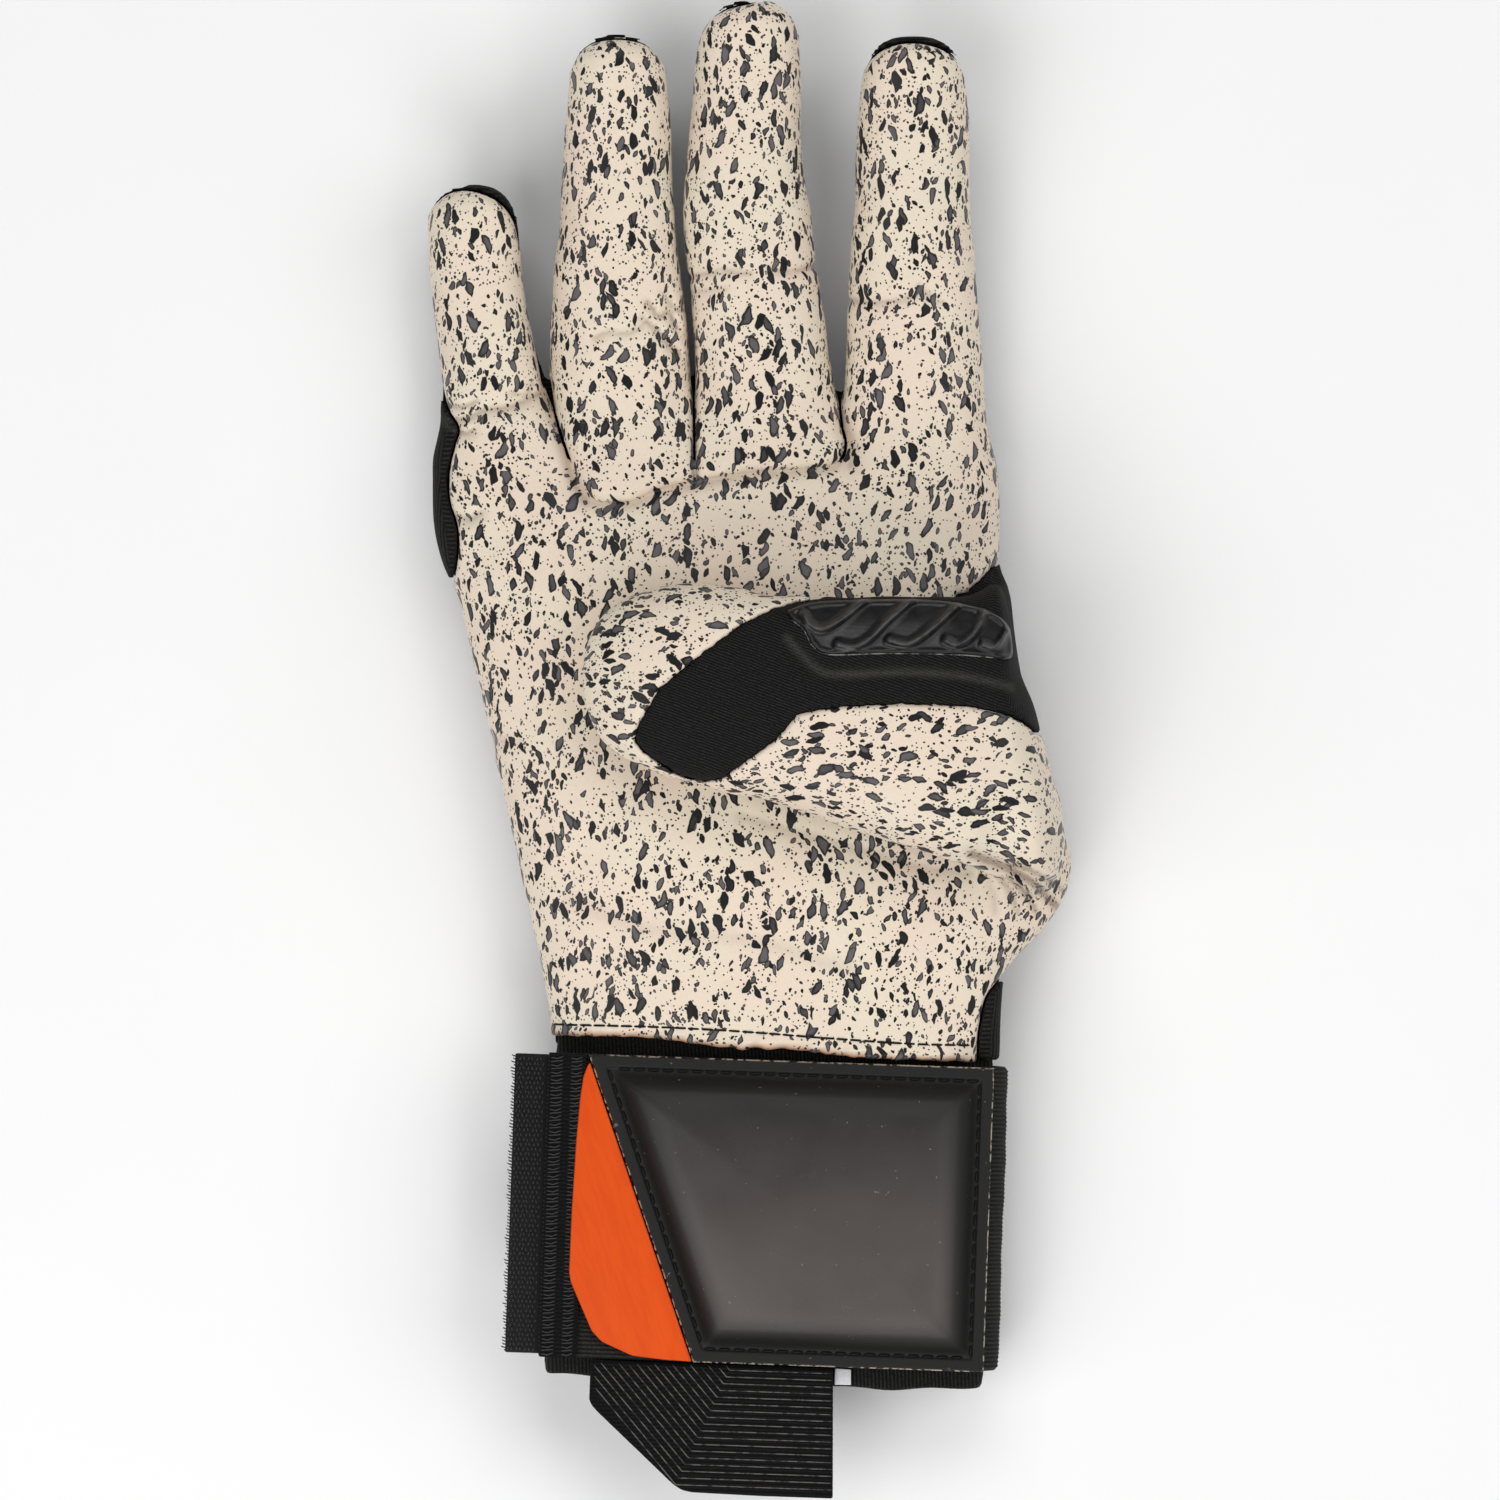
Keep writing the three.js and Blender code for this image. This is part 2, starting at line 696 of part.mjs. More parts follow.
function cuff() {
  const walls = { side: CUFF_WALL, bottom: CUFF_WALL, top: CUFF_WALL, end: 0 };
  const hollow = hollowRows(cuffRows.toReversed(), walls, { startOpen: true, endOpen: true });
  hollow[0].at -= PAST;
  hollow[hollow.length - 1].at += PAST;
  return loftAlongY(cuffRows, CUFF_SHAPE).subtract(loftAlongY(hollow, CUFF_SHAPE));
}

// Places on the strap, in the wrist's own frame
const strapHigh = -WRIST_GAP;
const strapLow = -CUFF_LENGTH + HEM_SHOWING;
const strapHeight = strapHigh - strapLow;
const strapRight = CUFF_WIDTH / 2 + STRAP_THICKNESS + SEAM_GAP;
const strapLeft = -CUFF_WIDTH / 2 - STRAP_EDGE;
const bindingRight = strapLeft + BINDING_INSET + BINDING_WIDTH;
const padRight = strapRight - PAD_MARGIN;
const padTopLeft = bindingRight + SEAM_GAP;
const padBottomLeft = padTopLeft + PAD_SLANT;
const layer = strapTop + SEAM_GAP;

// The strap lies under the cuff, turns round its right side and comes back over the top
function wristStrap() {
  const outer = strapTop / 2;
  const inner = outer - STRAP_THICKNESS;
  const turn = strapRight - outer;
  const shape = new THREE.Shape();
  shape.moveTo(strapLeft + STRAP_LAP, 0);
  shape.lineTo(turn, 0);
  shape.absarc(turn, outer, outer, -Math.PI / 2, Math.PI / 2, false);
  shape.lineTo(strapLeft, strapTop);
  shape.lineTo(strapLeft, strapTop - STRAP_THICKNESS);
  shape.lineTo(turn, strapTop - STRAP_THICKNESS);
  shape.absarc(turn, outer, inner, Math.PI / 2, -Math.PI / 2, true);
  shape.lineTo(strapLeft + STRAP_LAP, STRAP_THICKNESS);
  const geometry = new THREE.ExtrudeGeometry(shape, {
    depth: strapHeight,
    bevelEnabled: false,
    curveSegments: 12,
  });
  geometry.rotateX(Math.PI / 2);
  geometry.translate(0, strapHigh, 0);
  return solidOf(geometry);
}

// The hook tape runs past the strap's left end, edge to edge with it
function hookTape() {
  const right = strapLeft - SEAM_GAP;
  return box(right - HOOK_TAPE_WIDTH, right, strapLow, strapHigh, strapTop - STRAP_THICKNESS, strapTop);
}

function edgeBinding() {
  const left = bindingRight - BINDING_WIDTH;
  return box(left, bindingRight, strapLow, strapHigh, layer, layer + TRIM_THICKNESS);
}

// The orange panel fills the slant between the binding and the pad, with its outer corners cut off
function orangeTrim() {
  const left = bindingRight + SEAM_GAP;
  const slope = PAD_SLANT / strapHeight;
  const slantX = (y) => padTopLeft + (strapHigh - y) * slope - SEAM_GAP;
  const atShare = (share) => strapHigh - share * strapHeight;
  const outline = [
    [slantX(atShare(0.07)), atShare(0.07)],
    [left, atShare(0.07)],
    [left, atShare(0.74)],
    [left + 0.22 * PAD_SLANT, atShare(0.92)],
    [left + 0.55 * PAD_SLANT, strapLow],
    [slantX(strapLow), strapLow],
  ];
  return prism(outline, layer, layer + TRIM_THICKNESS);
}

// An outline with every side moved inwards by the same distance
function insetOutline(outline, distance) {
  const lines = outline.map(([x, y], i) => {
    const [nextX, nextY] = outline[(i + 1) % outline.length];
    const length = Math.hypot(nextX - x, nextY - y);
    const [dx, dy] = [(nextX - x) / length, (nextY - y) / length];
    return { x: x - dy * distance, y: y + dx * distance, dx, dy };
  });
  return lines.map((line, i) => {
    const last = lines[(i + lines.length - 1) % lines.length];
    const cross = last.dx * line.dy - last.dy * line.dx;
    const along = ((line.x - last.x) * line.dy - (line.y - last.y) * line.dx) / cross;
    return [last.x + last.dx * along, last.y + last.dy * along];
  });
}

// The pad is a flat stitched patch with a crowned cushion inside its border
function strapPad() {
  const outline = [
    [padTopLeft, strapHigh],
    [padBottomLeft, strapLow],
    [padRight, strapLow],
    [padRight, strapHigh],
  ];
  const top = layer + PAD_BASE;
  const rows = [
    // inset as a share of the border, rise as a share of the crown
    [0, 0],
    [1, 0],
    [1.35, 0.42],
    [1.9, 0.7],
    [3, 0.88],
    [4.6, 0.97],
    [6.2, 1],
  ];
  const rings = rows.map(([inset, rise]) =>
    insetOutline(outline, inset * PAD_BORDER).map(([x, y]) => new THREE.Vector3(x, y, top + rise * PAD_CROWN)),
  );
  const base = outline.map(([x, y]) => new THREE.Vector3(x, y, layer));
  return loft([base, ...rings]);
}

// The pull tab hangs out below the pad from the strap's lower edge
function pullTab() {
  const right = 0.155 * CUFF_WIDTH;
  const left = right - TAB_WIDTH;
  const high = strapLow - SEAM_GAP;
  const low = high - TAB_DROP;
  const outline = [
    [left, high],
    [left, low + 0.66 * TAB_DROP],
    [left + 0.04 * TAB_WIDTH, low + 0.62 * TAB_DROP],
    [left + 0.38 * TAB_WIDTH, low + 0.03 * TAB_DROP],
    [left + 0.42 * TAB_WIDTH, low],
    [right, low],
    [right, high],
  ];
  return prism(outline, strapTop - TAB_THICKNESS, strapTop);
}

function careLabel() {
  const left = 0.155 * CUFF_WIDTH + SEAM_GAP;
  const high = strapLow - SEAM_GAP;
  const bottom = cuffBottom + CUFF_THICKNESS + SEAM_GAP;
  return box(left, left + LABEL_SIZE, high - LABEL_SIZE, high, bottom, bottom + LABEL_THICKNESS);
}

const material = (color, roughness) => new THREE.MeshStandardMaterial({ color, roughness, metalness: 0 });
const latex = material(0xeee2c8, 0.55);
const fabric = material(0x101011, 0.85);
const elastic = material(0x141415, 0.8);
const rubber = material(0x0c0c0d, 0.25);
const cushion = material(0x17171a, 0.45);
const orange = material(0xec5a18, 0.6);
const hook = material(0x161617, 0.7);
const white = material(0xf0f0f0, 0.8);

const hand = new THREE.Group();
const wrist = new THREE.Group();
wrist.applyMatrix4(wristFrame);

function addPiece(group, name, solid, finish) {
  const mesh = new THREE.Mesh(geometryOf(solid), finish);
  mesh.name = name;
  group.add(mesh);
}

for (const [name, solid] of Object.entries(handPieces())) {
  const finish = name === "backhand" || name === "thumb_back_fabric" ? fabric : latex;
  addPiece(hand, name, solid, finish);
}
addPiece(hand, "thumb_grip_ribs", thumbGripRibs(), rubber);
addPiece(wrist, "cuff", cuff(), elastic);
addPiece(wrist, "wrist_strap", wristStrap(), elastic);
addPiece(wrist, "hook_tape", hookTape(), hook);
addPiece(wrist, "edge_binding", edgeBinding(), elastic);
addPiece(wrist, "orange_trim", orangeTrim(), orange);
addPiece(wrist, "strap_pad", strapPad(), cushion);
addPiece(wrist, "pull_tab", pullTab(), elastic);
addPiece(wrist, "care_label", careLabel(), white);

// The origin goes to the middle of the underside
const glove = new THREE.Group();
glove.add(hand, wrist);
glove.updateMatrixWorld(true);
const bounds = new THREE.Box3().setFromObject(glove, true);
const centre = bounds.getCenter(new THREE.Vector3());
const placed = new THREE.Group();
placed.add(glove);
glove.position.set(-centre.x, -centre.y, -bounds.min.z);

export default placed;
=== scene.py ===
import math
from types import SimpleNamespace

import bmesh
import bpy
import numpy as np
from mathutils import Matrix, Vector


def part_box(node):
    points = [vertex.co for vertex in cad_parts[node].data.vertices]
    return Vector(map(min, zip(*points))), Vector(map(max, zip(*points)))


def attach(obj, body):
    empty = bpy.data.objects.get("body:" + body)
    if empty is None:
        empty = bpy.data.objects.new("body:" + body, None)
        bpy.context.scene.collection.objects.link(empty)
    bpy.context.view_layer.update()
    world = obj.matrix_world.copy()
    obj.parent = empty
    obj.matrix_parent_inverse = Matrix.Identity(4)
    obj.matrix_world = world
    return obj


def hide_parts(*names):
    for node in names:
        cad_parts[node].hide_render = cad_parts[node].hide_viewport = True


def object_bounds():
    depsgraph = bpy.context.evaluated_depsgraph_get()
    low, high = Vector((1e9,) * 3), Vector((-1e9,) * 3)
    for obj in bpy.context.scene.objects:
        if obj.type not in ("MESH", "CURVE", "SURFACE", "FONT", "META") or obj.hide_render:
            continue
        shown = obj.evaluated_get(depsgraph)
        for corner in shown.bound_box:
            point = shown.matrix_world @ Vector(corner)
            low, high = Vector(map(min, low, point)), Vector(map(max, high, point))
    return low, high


# A goalkeeper glove for the right hand, lying palm up with its thumb folded across the palm. The shapes are
# made in millimetres in the hand's own frame: y = 0 is the wrist, x = 0 runs up the middle finger and
# z = 0 is the ground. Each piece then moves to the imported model's place.

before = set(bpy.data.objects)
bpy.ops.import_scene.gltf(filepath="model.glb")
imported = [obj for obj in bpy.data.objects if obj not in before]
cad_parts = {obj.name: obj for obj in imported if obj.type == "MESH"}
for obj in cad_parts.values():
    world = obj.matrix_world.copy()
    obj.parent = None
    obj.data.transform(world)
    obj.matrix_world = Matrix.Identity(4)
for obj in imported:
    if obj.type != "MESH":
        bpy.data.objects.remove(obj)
cad_bounds = [list(corner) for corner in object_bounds()]

PALM_WIDTH = 109.0
ROOT_Y = 114.3
MIDDLE_LENGTH = 95.4
FINGER_THICKNESS = 21.0
FINGER_CURL = 17.0
THUMB_TIP_X = -33.245
GAP = 0.36
WRIST_SHIFT = 0.046 * PALM_WIDTH
WRIST_TURN = math.radians(-2)

MM = 0.001
ORIGIN = Vector(
    (
        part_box("thumb_latex")[0][0] / MM - THUMB_TIP_X,
        cad_bounds[1][1] / MM - ROOT_Y - MIDDLE_LENGTH,
        0,
    )
)
HAND = Matrix.Scale(MM, 4) @ Matrix.Translation(ORIGIN)
WRIST = HAND @ Matrix.Translation((WRIST_SHIFT, 0, 0)) @ Matrix.Rotation(WRIST_TURN, 4, "Z")

# Cross-sections of the palm: along, left, right, bottom, top
PALM_ROWS = [
    [-12, -40, 49.8, 0, 23.5], [2, -40, 50, 0, 24.2], [10, -40.6, 50.4, 0, 24.9], [14, -41.2, 51, 0, 25.3],
    [18, -42, 53.2, 0, 25.7], [22, -42.8, 56.8, 0, 26.2], [26, -43.8, 60.2, 0, 26.6],
    [30, -44.7, 62.8, 0, 26.9], [34, -45.6, 64.2, 0, 27.2], [38, -46.5, 64.4, 0, 27.4],
    [42, -47.4, 63.4, 0, 27.6], [50, -49.2, 61, 0, 27.9], [58, -50.8, 58.6, 0, 28],
    [66, -52.6, 55.6, 0, 28], [74, -54.6, 53.6, 0, 28], [82, -56.4, 52, 0, 27.7],
    [90, -58.4, 51.2, 0, 26.9], [94, -60.2, 50.7, 0, 26.3], [98, -61.4, 50.2, 0, 25.5],
    [104, -62.5, 49.5, 0, 24.2], [110, -62.8, 49, 0, 22.8], [116, -62.8, 48.5, 0.4, 21.2],
    [122, -62.6, 48, 1.6, 20], [134, -62, 47, 3, 19],
]
PALM_END, PALM_CAP = 131.0, 14

# Cross-sections of the fingers: along, left, right
FINGERS = {
    "index": {
        "tip": 202.6,
        "cap": 8.5,
        "height": 1,
        "rows": [
            [92, 19.5, 50], [105, 17.8, 49.3], [114, 18, 48.6], [130, 18.4, 47.2], [142, 19, 46.4],
            [150, 19.6, 45.6], [158, 20.2, 45], [166, 20.6, 44.4], [174, 21, 44], [182, 21.4, 43.8],
            [190, 22, 43.6], [196, 22.4, 42.9], [203, 22.8, 42.4],
        ],
    },
    "middle": {
        "tip": 209.7,
        "cap": 9,
        "height": 1,
        "rows": [
            [92, -9, 17], [105, -10.8, 18.9], [114, -11, 19], [126, -11.3, 18.2], [134, -11.4, 17],
            [142, -11.8, 15.6], [150, -12.4, 14.4], [158, -13.3, 13.4], [166, -13.9, 12.2],
            [174, -13.2, 11], [182, -12.4, 10.4], [190, -11.6, 10.2], [198, -10.7, 9.9], [204, -10, 9.9],
            [210, -9.6, 10.2],
        ],
    },
    "ring": {
        "tip": 202.9,
        "cap": 8.5,
        "height": 1,
        "rows": [
            [92, -33, -13], [105, -35, -11.4], [114, -36.4, -11.2], [122, -38, -11.2], [130, -39.9, -11.2],
            [134, -40.6, -11.4], [142, -40.4, -12], [150, -39.6, -12.7], [158, -39, -13.8],
            [164, -38.4, -14.6], [170, -38, -15.2], [178, -37.4, -15.6], [186, -36.8, -15.8],
            [192, -36.4, -16.3], [203, -35.8, -17.2],
        ],
    },
    "little": {
        "tip": 173.3,
        "cap": 8.5,
        "height": 0.9,
        "rows": [
            [92, -60.6, -42], [105, -62.4, -39.8], [116, -62.6, -39.4], [126, -62.2, -40.2],
            [134, -62, -41], [142, -62.8, -43.2], [150, -63.6, -45], [156, -64.2, -45.7], [162, -64.6, -46],
            [168, -64.7, -46.8], [174, -64.6, -47.6],
        ],
    },
}

# Cross-sections of the thumb across the palm: along X, low, high, bottom, top
THUMB_ROWS = [
    [-34, 56.2, 92.4, 28.4, 44.8], [-22, 55.8, 92.4, 28, 46.4], [-15, 54.3, 92.9, 27.8, 47.2],
    [-10, 53, 93.1, 27.8, 47.7], [-2, 51, 92.2, 27.8, 48.1], [2, 50.4, 91, 27.8, 48.3],
    [10, 47.8, 90.5, 27.6, 48.4], [26, 42.4, 90.4, 27.6, 48.4], [38, 38.6, 90.4, 27, 47.8],
    [44, 36.6, 91, 22, 46.8], [49, 34.6, 93.2, 12, 45.2], [54, 31.5, 76, 7.5, 43],
    [58, 29.6, 65, 7.4, 40.6], [61, 29, 57, 8.2, 38.4], [65, 29.5, 50, 11, 35],
]
THUMB_END = 62.8
THUMB_TIP_CAP, THUMB_END_CAP = 18, 7
FINGER_START, FINGER_START_CAP = 94, 16

# Seams seen from above, in millimetres
RING_MIDDLE = [[-11, 113.5], [-11.3, 130], [-11.9, 145], [-13.4, 157.5], [-14, 165], [-14.3, 216]]
RING_ROOT = [
    [-41.9, 216], [-41.9, 142], [-40.4, 133], [-38.4, 125], [-36.8, 120], [-35.1, 115], [-33.3, 111.4],
    [-30, 109.3], [-24, 109.4], [-21, 110.6], [-17, 112.2], [-11, 113.5],
]
MIDDLE_ROOT = [
    [-11, 113.5], [-2, 115], [6, 115.7], [13, 116.1], [17, 117], [18.8, 119], [19.1, 122], [18.2, 127],
    [17.9, 142], [17.1, 216],
]
KNUCKLE = [
    [-66, 86], [-61, 90.4], [-58.8, 97], [-58.5, 104], [-60.2, 110], [-60.3, 116], [-59, 121.5],
    [-58.3, 124.5], [-60.6, 128.5], [-62.2, 134], [-66, 141],
]
# The black back of the thumb, with the gusset that runs on to the glove's side
WEDGE = [
    [-22.8, 61.6], [-22, 65], [-18, 72], [-10, 78.6], [-2, 84.6], [5, 88], [14, 90.2], [14, 98], [39, 98],
    [41.2, 90.6], [43.6, 91.6], [47, 95], [50.2, 98.2], [53, 101], [70, 101], [70, 63], [57, 63.2],
    [54, 65.6], [50, 67.4], [42, 68.8], [30, 69.2], [18, 68.6], [10, 67.4], [8, 65.6], [5, 62], [-2, 57],
    [-6, 54.2], [-10, 54], [-14, 55], [-20, 59],
]
# Where the latex stops short of each fingertip, and the black backhand shows round it
TIP_EDGES = {
    "index": [[20, 194], [22.8, 197.4], [24.6, 199.2], [26.6, 200.6], [29, 201.5], [32.4, 201.9], [36, 201.4],
              [39, 200.3], [41.6, 198.4], [43.4, 196], [46, 190]],
    "middle": [[-16, 190], [-10.4, 203], [-8.8, 205.6], [-6.8, 207.2], [-4, 208.5], [-1, 209.2], [3, 210.4],
               [12, 214]],
    "ring": [[-40, 192], [-34.6, 199], [-33, 200.8], [-31, 201.8], [-28, 202.3], [-25, 202.3], [-22, 201.8],
             [-20, 200.8], [-18, 199], [-14, 194]],
    "little": [[-68, 166], [-62.6, 170.4], [-60.6, 171.8], [-58, 172.5], [-55, 172.2], [-52, 171.2],
               [-50, 169.9], [-48.2, 168], [-47, 165.6], [-46.2, 162.6], [-44, 158]],
}
# How far the latex stays below those lines, because the camera sees the tips from above the palm
TIP_SHOWN = {"index": 0.75, "middle": 0.5, "ring": 0.5, "little": 0.4}
WRIST_EDGE = [[-60, 2.8], [-40, 2.8], [-30, 2.8], [-22, 2.6], [-14, 1.8], [-2, 0.4], [8, 0.2], [16, -0.8],
              [24, -1.6], [34, -2], [46, -2.4], [70, -2.6]]
WRIST_SIDE = [[45.6, -8], [45.6, 2], [46.4, 7], [47.2, 10.5], [49.4, 13.4], [52.4, 16.2], [58, 20], [72, 26]]

# Creases and folds pressed into the latex: points, depth, half width
CREASES = [
    ([[-12.5, 154.5], [-6, 155.6], [0, 155.2]], 0.9, 1.1),
    ([[4, 156.2], [8, 155.6], [12.8, 156.8]], 1.0, 1.0),
    ([[-11.6, 151.6], [-5, 152.2]], 0.5, 1.2),
    ([[20.5, 150], [26, 149.4], [32, 150.4], [34.6, 151.6], [36.6, 150.2]], 0.9, 1.1),
    ([[33.6, 153], [35, 150.6], [38.6, 149.6]], 0.7, 0.9),
    ([[-31, 142.4], [-28, 143.6], [-24.6, 143.2], [-21.4, 144.6]], 0.8, 1.0),
    ([[-20.4, 149.6], [-18.2, 146.6], [-16.4, 147.6], [-14.8, 144.6]], 1.2, 0.9),
    ([[-21.4, 146.2], [-18.6, 144], [-16.4, 141.4], [-14.4, 139.4]], 1.2, 0.9),
    ([[-17.2, 151], [-15.4, 148.6], [-14, 148]], 0.8, 0.9),
    ([[-64, 126.6], [-60, 126], [-56.6, 126.4], [-53, 128], [-48, 128.6], [-42, 131.5]], 1.1, 1.2),
    ([[-61, 124.8], [-57.4, 123.4], [-55.4, 124]], 1.1, 0.9),
    ([[-61, 129.4], [-57.8, 128.6], [-54.6, 129.8]], 1.0, 0.9),
    ([[-48, 131.6], [-45, 131], [-43.6, 133.4]], 0.8, 0.9),
    ([[-59, 106.6], [-56, 106.2], [-54, 107.4]], 0.9, 1.2),
    ([[-41.4, 131], [-39.6, 126], [-37.6, 120], [-35.6, 114], [-33, 109.6]], 0.9, 2.0),
    ([[18.4, 127], [20.4, 121.4], [20.2, 117]], 1.0, 2.0),
    ([[-57, 60], [-52, 62], [-46, 61.4]], 0.35, 2.2),
    ([[-36, 30], [-20, 24], [0, 22], [20, 16]], 0.3, 3.0),
]
THUMB_FOLDS = [
    ([[44, 39.4], [50, 37], [56, 33.8], [61.4, 28.6]], 1.9, 1.3),
    ([[50, 37.4], [55, 36.4], [60, 33.6], [63, 31.6]], 1.3, 0.9),
    ([[51.4, 34.6], [55, 31.4], [57.4, 27.4]], 1.2, 0.9),
    ([[50, 34.4], [52.4, 31], [53.4, 27.6]], 0.9, 1.0),
    ([[47.6, 33.6], [48.8, 30.6], [49, 27.6]], 0.5, 1.2),
    ([[-2, 47], [10, 43.4], [24, 39.6], [34, 36.6], [44, 35.4]], 0.5, 1.4),
]

# The pressed line on the black cloth below the grip panel, and the sewn line above the wrist's raw edge
EMBOSS = [([[7.2, 82], [10, 79], [13, 76.2], [17, 74.9], [31, 75.3], [42, 74.5], [52, 72.4]], 0.75, 1.0)]
HEM_LINE = [[-39.5, 5.1], [-20, 4.7], [-3.6, 3.9], [16, 2.4], [32, 1.3], [45.5, 0.9]]
HEM_GROOVE = [(HEM_LINE, 0.55, 0.9)]

# Where folds and meeting edges get a little painted shade on the latex, and a painted lighter sheen on the
# black cloth
FOLD_SHADE = [(points, 0.75 * depth, 0.55 * width) for points, depth, width in CREASES + THUMB_FOLDS]
FOLD_SHADE += [(points, 0.8, 0.8) for points, depth, width in EMBOSS]
FOLD_SHADE += [(RING_MIDDLE[:5], 0.9, 0.8), (RING_ROOT[2:], 0.4, 0.6), (MIDDLE_ROOT[:-2], 0.4, 0.6)]

rng = np.random.default_rng(7)


def curve(rows, at):
    """Smooth columns through given rows, whose first column is the place. No overshoot."""
    rows = np.array(rows, float)
    place, value = rows[:, 0], rows[:, 1:]
    run = np.diff(place)[:, None]
    slope = np.diff(value, axis=0) / run
    tangent = np.zeros_like(value)
    tangent[0], tangent[-1] = slope[0], slope[-1]
    before, after = 2 * run[1:] + run[:-1], run[1:] + 2 * run[:-1]
    with np.errstate(divide="ignore", invalid="ignore"):
        inner = (before + after) / (before / slope[:-1] + after / slope[1:])
    tangent[1:-1] = np.where(slope[:-1] * slope[1:] > 0, inner, 0)
    at = np.clip(np.asarray(at, float), place[0], place[-1])
    i = np.clip(np.searchsorted(place, at, side="right") - 1, 0, len(place) - 2)
    step = (place[i + 1] - place[i])[:, None]
    t = ((at - place[i]) / (place[i + 1] - place[i]))[:, None]
    return (
        (1 + 2 * t) * (1 - t) ** 2 * value[i]
        + t * (1 - t) ** 2 * step * tangent[i]
        + t * t * (3 - 2 * t) * value[i + 1]
        + t * t * (t - 1) * step * tangent[i + 1]
    )


def rounded_line(points, share=6):
    """A Catmull-Rom line through the points, with share steps between neighbours."""
    p = np.array(points, float)
    p = np.vstack([2 * p[0] - p[1], p, 2 * p[-1] - p[-2]])
    line = []
    for a, b, c, d in zip(p[:-3], p[1:-2], p[2:-1], p[3:]):
        for t in np.arange(share) / share:
            line.append(0.5 * (2 * b + (c - a) * t + (2 * a - 5 * b + 4 * c - d) * t * t
                               + (3 * b - a - 3 * c + d) * t ** 3))
    line.append(p[-2])
    return np.array(line)


class Grid:
    """A block of sample points with an even step, as arrays that broadcast."""

    def __init__(self, low, high, step):
        self.step = step
        self.low = np.array(low, float)
        self.axes = [np.arange(a, b + step, step, dtype=np.float32) for a, b in zip(low, high)]
        self.x = self.axes[0][:, None, None]
        self.y = self.axes[1][None, :, None]
        self.z = self.axes[2][None, None, :]
        self.shape = tuple(len(a) for a in self.axes)

    def part(self, low, high):
        """Slices of the grid that cover a box."""
        found = []
        for axis, a, b in zip(self.axes, low, high):
            first = max(int(np.searchsorted(axis, a)) - 1, 0)
            last = min(int(np.searchsorted(axis, b)) + 2, len(axis))
            found.append(slice(first, last))
        return tuple(found)


def line_distance(grid, points):
    """Distance in plan from a line of points."""
    x, y = grid.x[:, :, 0], grid.y[:, :, 0]
    best = np.full(grid.shape[:2], 1e3, np.float32)
    for (ax, ay), (bx, by) in zip(points[:-1], points[1:]):
        dx, dy = bx - ax, by - ay
        t = np.clip(((x - ax) * dx + (y - ay) * dy) / (dx * dx + dy * dy + 1e-9), 0, 1)
        best = np.minimum(best, np.hypot(x - ax - t * dx, y - ay - t * dy))
    return best


def region_distance(grid, points):
    """Signed distance in plan from a closed outline, negative inside it."""
    points = np.array(points, float)
    closed = np.vstack([points, points[:1]])
    x, y = grid.x[:, :, 0], grid.y[:, :, 0]
    inside = np.zeros(grid.shape[:2], bool)
    for (ax, ay), (bx, by) in zip(closed[:-1], closed[1:]):
        if ay == by:
            continue
        crosses = (ay > y) != (by > y)
        inside ^= crosses & (x < (bx - ax) * (y - ay) / (by - ay) + ax)
    distance = line_distance(grid, closed)
    return np.where(inside, -distance, distance)


def smooth_min(a, b, k):
    h = np.clip(0.5 + 0.5 * (b - a) / k, 0, 1)
    return b + (a - b) * h - k * h * (1 - h)


def smooth_max(a, b, k):
    return -smooth_min(-a, -b, k)


def ramp(value, low, high):
    t = np.clip((value - low) / (high - low), 0, 1)
    return t * t * (3 - 2 * t)


def tube(grid, axis, rows, square, starts=None, ends=None, power=2.4, flat=0.0):
    """Distance from a soft tube along an axis. Starts and ends are (place, cap length) of its round ends."""
    other = 1 - axis
    along = grid.axes[axis]
    first, last = along[0], along[-1]
    if starts:
        first = starts[0] - 5
    if ends:
        last = ends[0] + 5
    columns = np.array(rows, float)
    box_low, box_high = [0, 0, columns[:, 3].min() - 6], [0, 0, columns[:, 4].max() + 6]
    box_low[axis], box_high[axis] = first, last
    box_low[other], box_high[other] = columns[:, 1].min() - 6, columns[:, 2].max() + 6
    part = grid.part(box_low, box_high)
    places = along[part[axis]]
    shape = [1, 1, 1]
    shape[axis] = -1
    low, high, bottom, top = (c.reshape(shape) for c in curve(rows, places).T.astype(np.float32))
    places = places.reshape(shape)
    across = grid.x[part[0]] if other == 0 else grid.y[:, part[1]]
    up = grid.z[:, :, part[2]]
    u = np.abs(across - (low + high) / 2) / ((high - low) / 2)
    v = (up - (bottom + top) / 2) / ((top - bottom) / 2)
    v = np.abs(np.where(v < 0, v / (1 + flat), v))
    size = u ** square + v ** square
    if starts:
        size = size + (np.maximum(starts[0] + starts[1] - places, 0) / starts[1]) ** power
    if ends:
        size = size + (np.maximum(places - ends[0] + ends[1], 0) / ends[1]) ** power
    value = size ** (1 / square)
    slopes = np.gradient(value, grid.step)
    steep = np.sqrt(sum(s * s for s in slopes))
    field = np.full(grid.shape, 9.0, np.float32)
    field[part] = np.clip((value - 1) / np.maximum(steep, 0.02), -9, 9)
    return field


def lift_at(y):
    return 0.4 + FINGER_CURL * (np.maximum(y - ROOT_Y, 0) / MIDDLE_LENGTH) ** 1.7


def thickness_at(y):
    return FINGER_THICKNESS * (1 - 0.26 * np.clip((y - ROOT_Y) / MIDDLE_LENGTH, 0, 1))


def parting_at(y):
    return np.where(y < ROOT_Y, 0.4 * FINGER_THICKNESS, lift_at(y) + 0.38 * thickness_at(y))


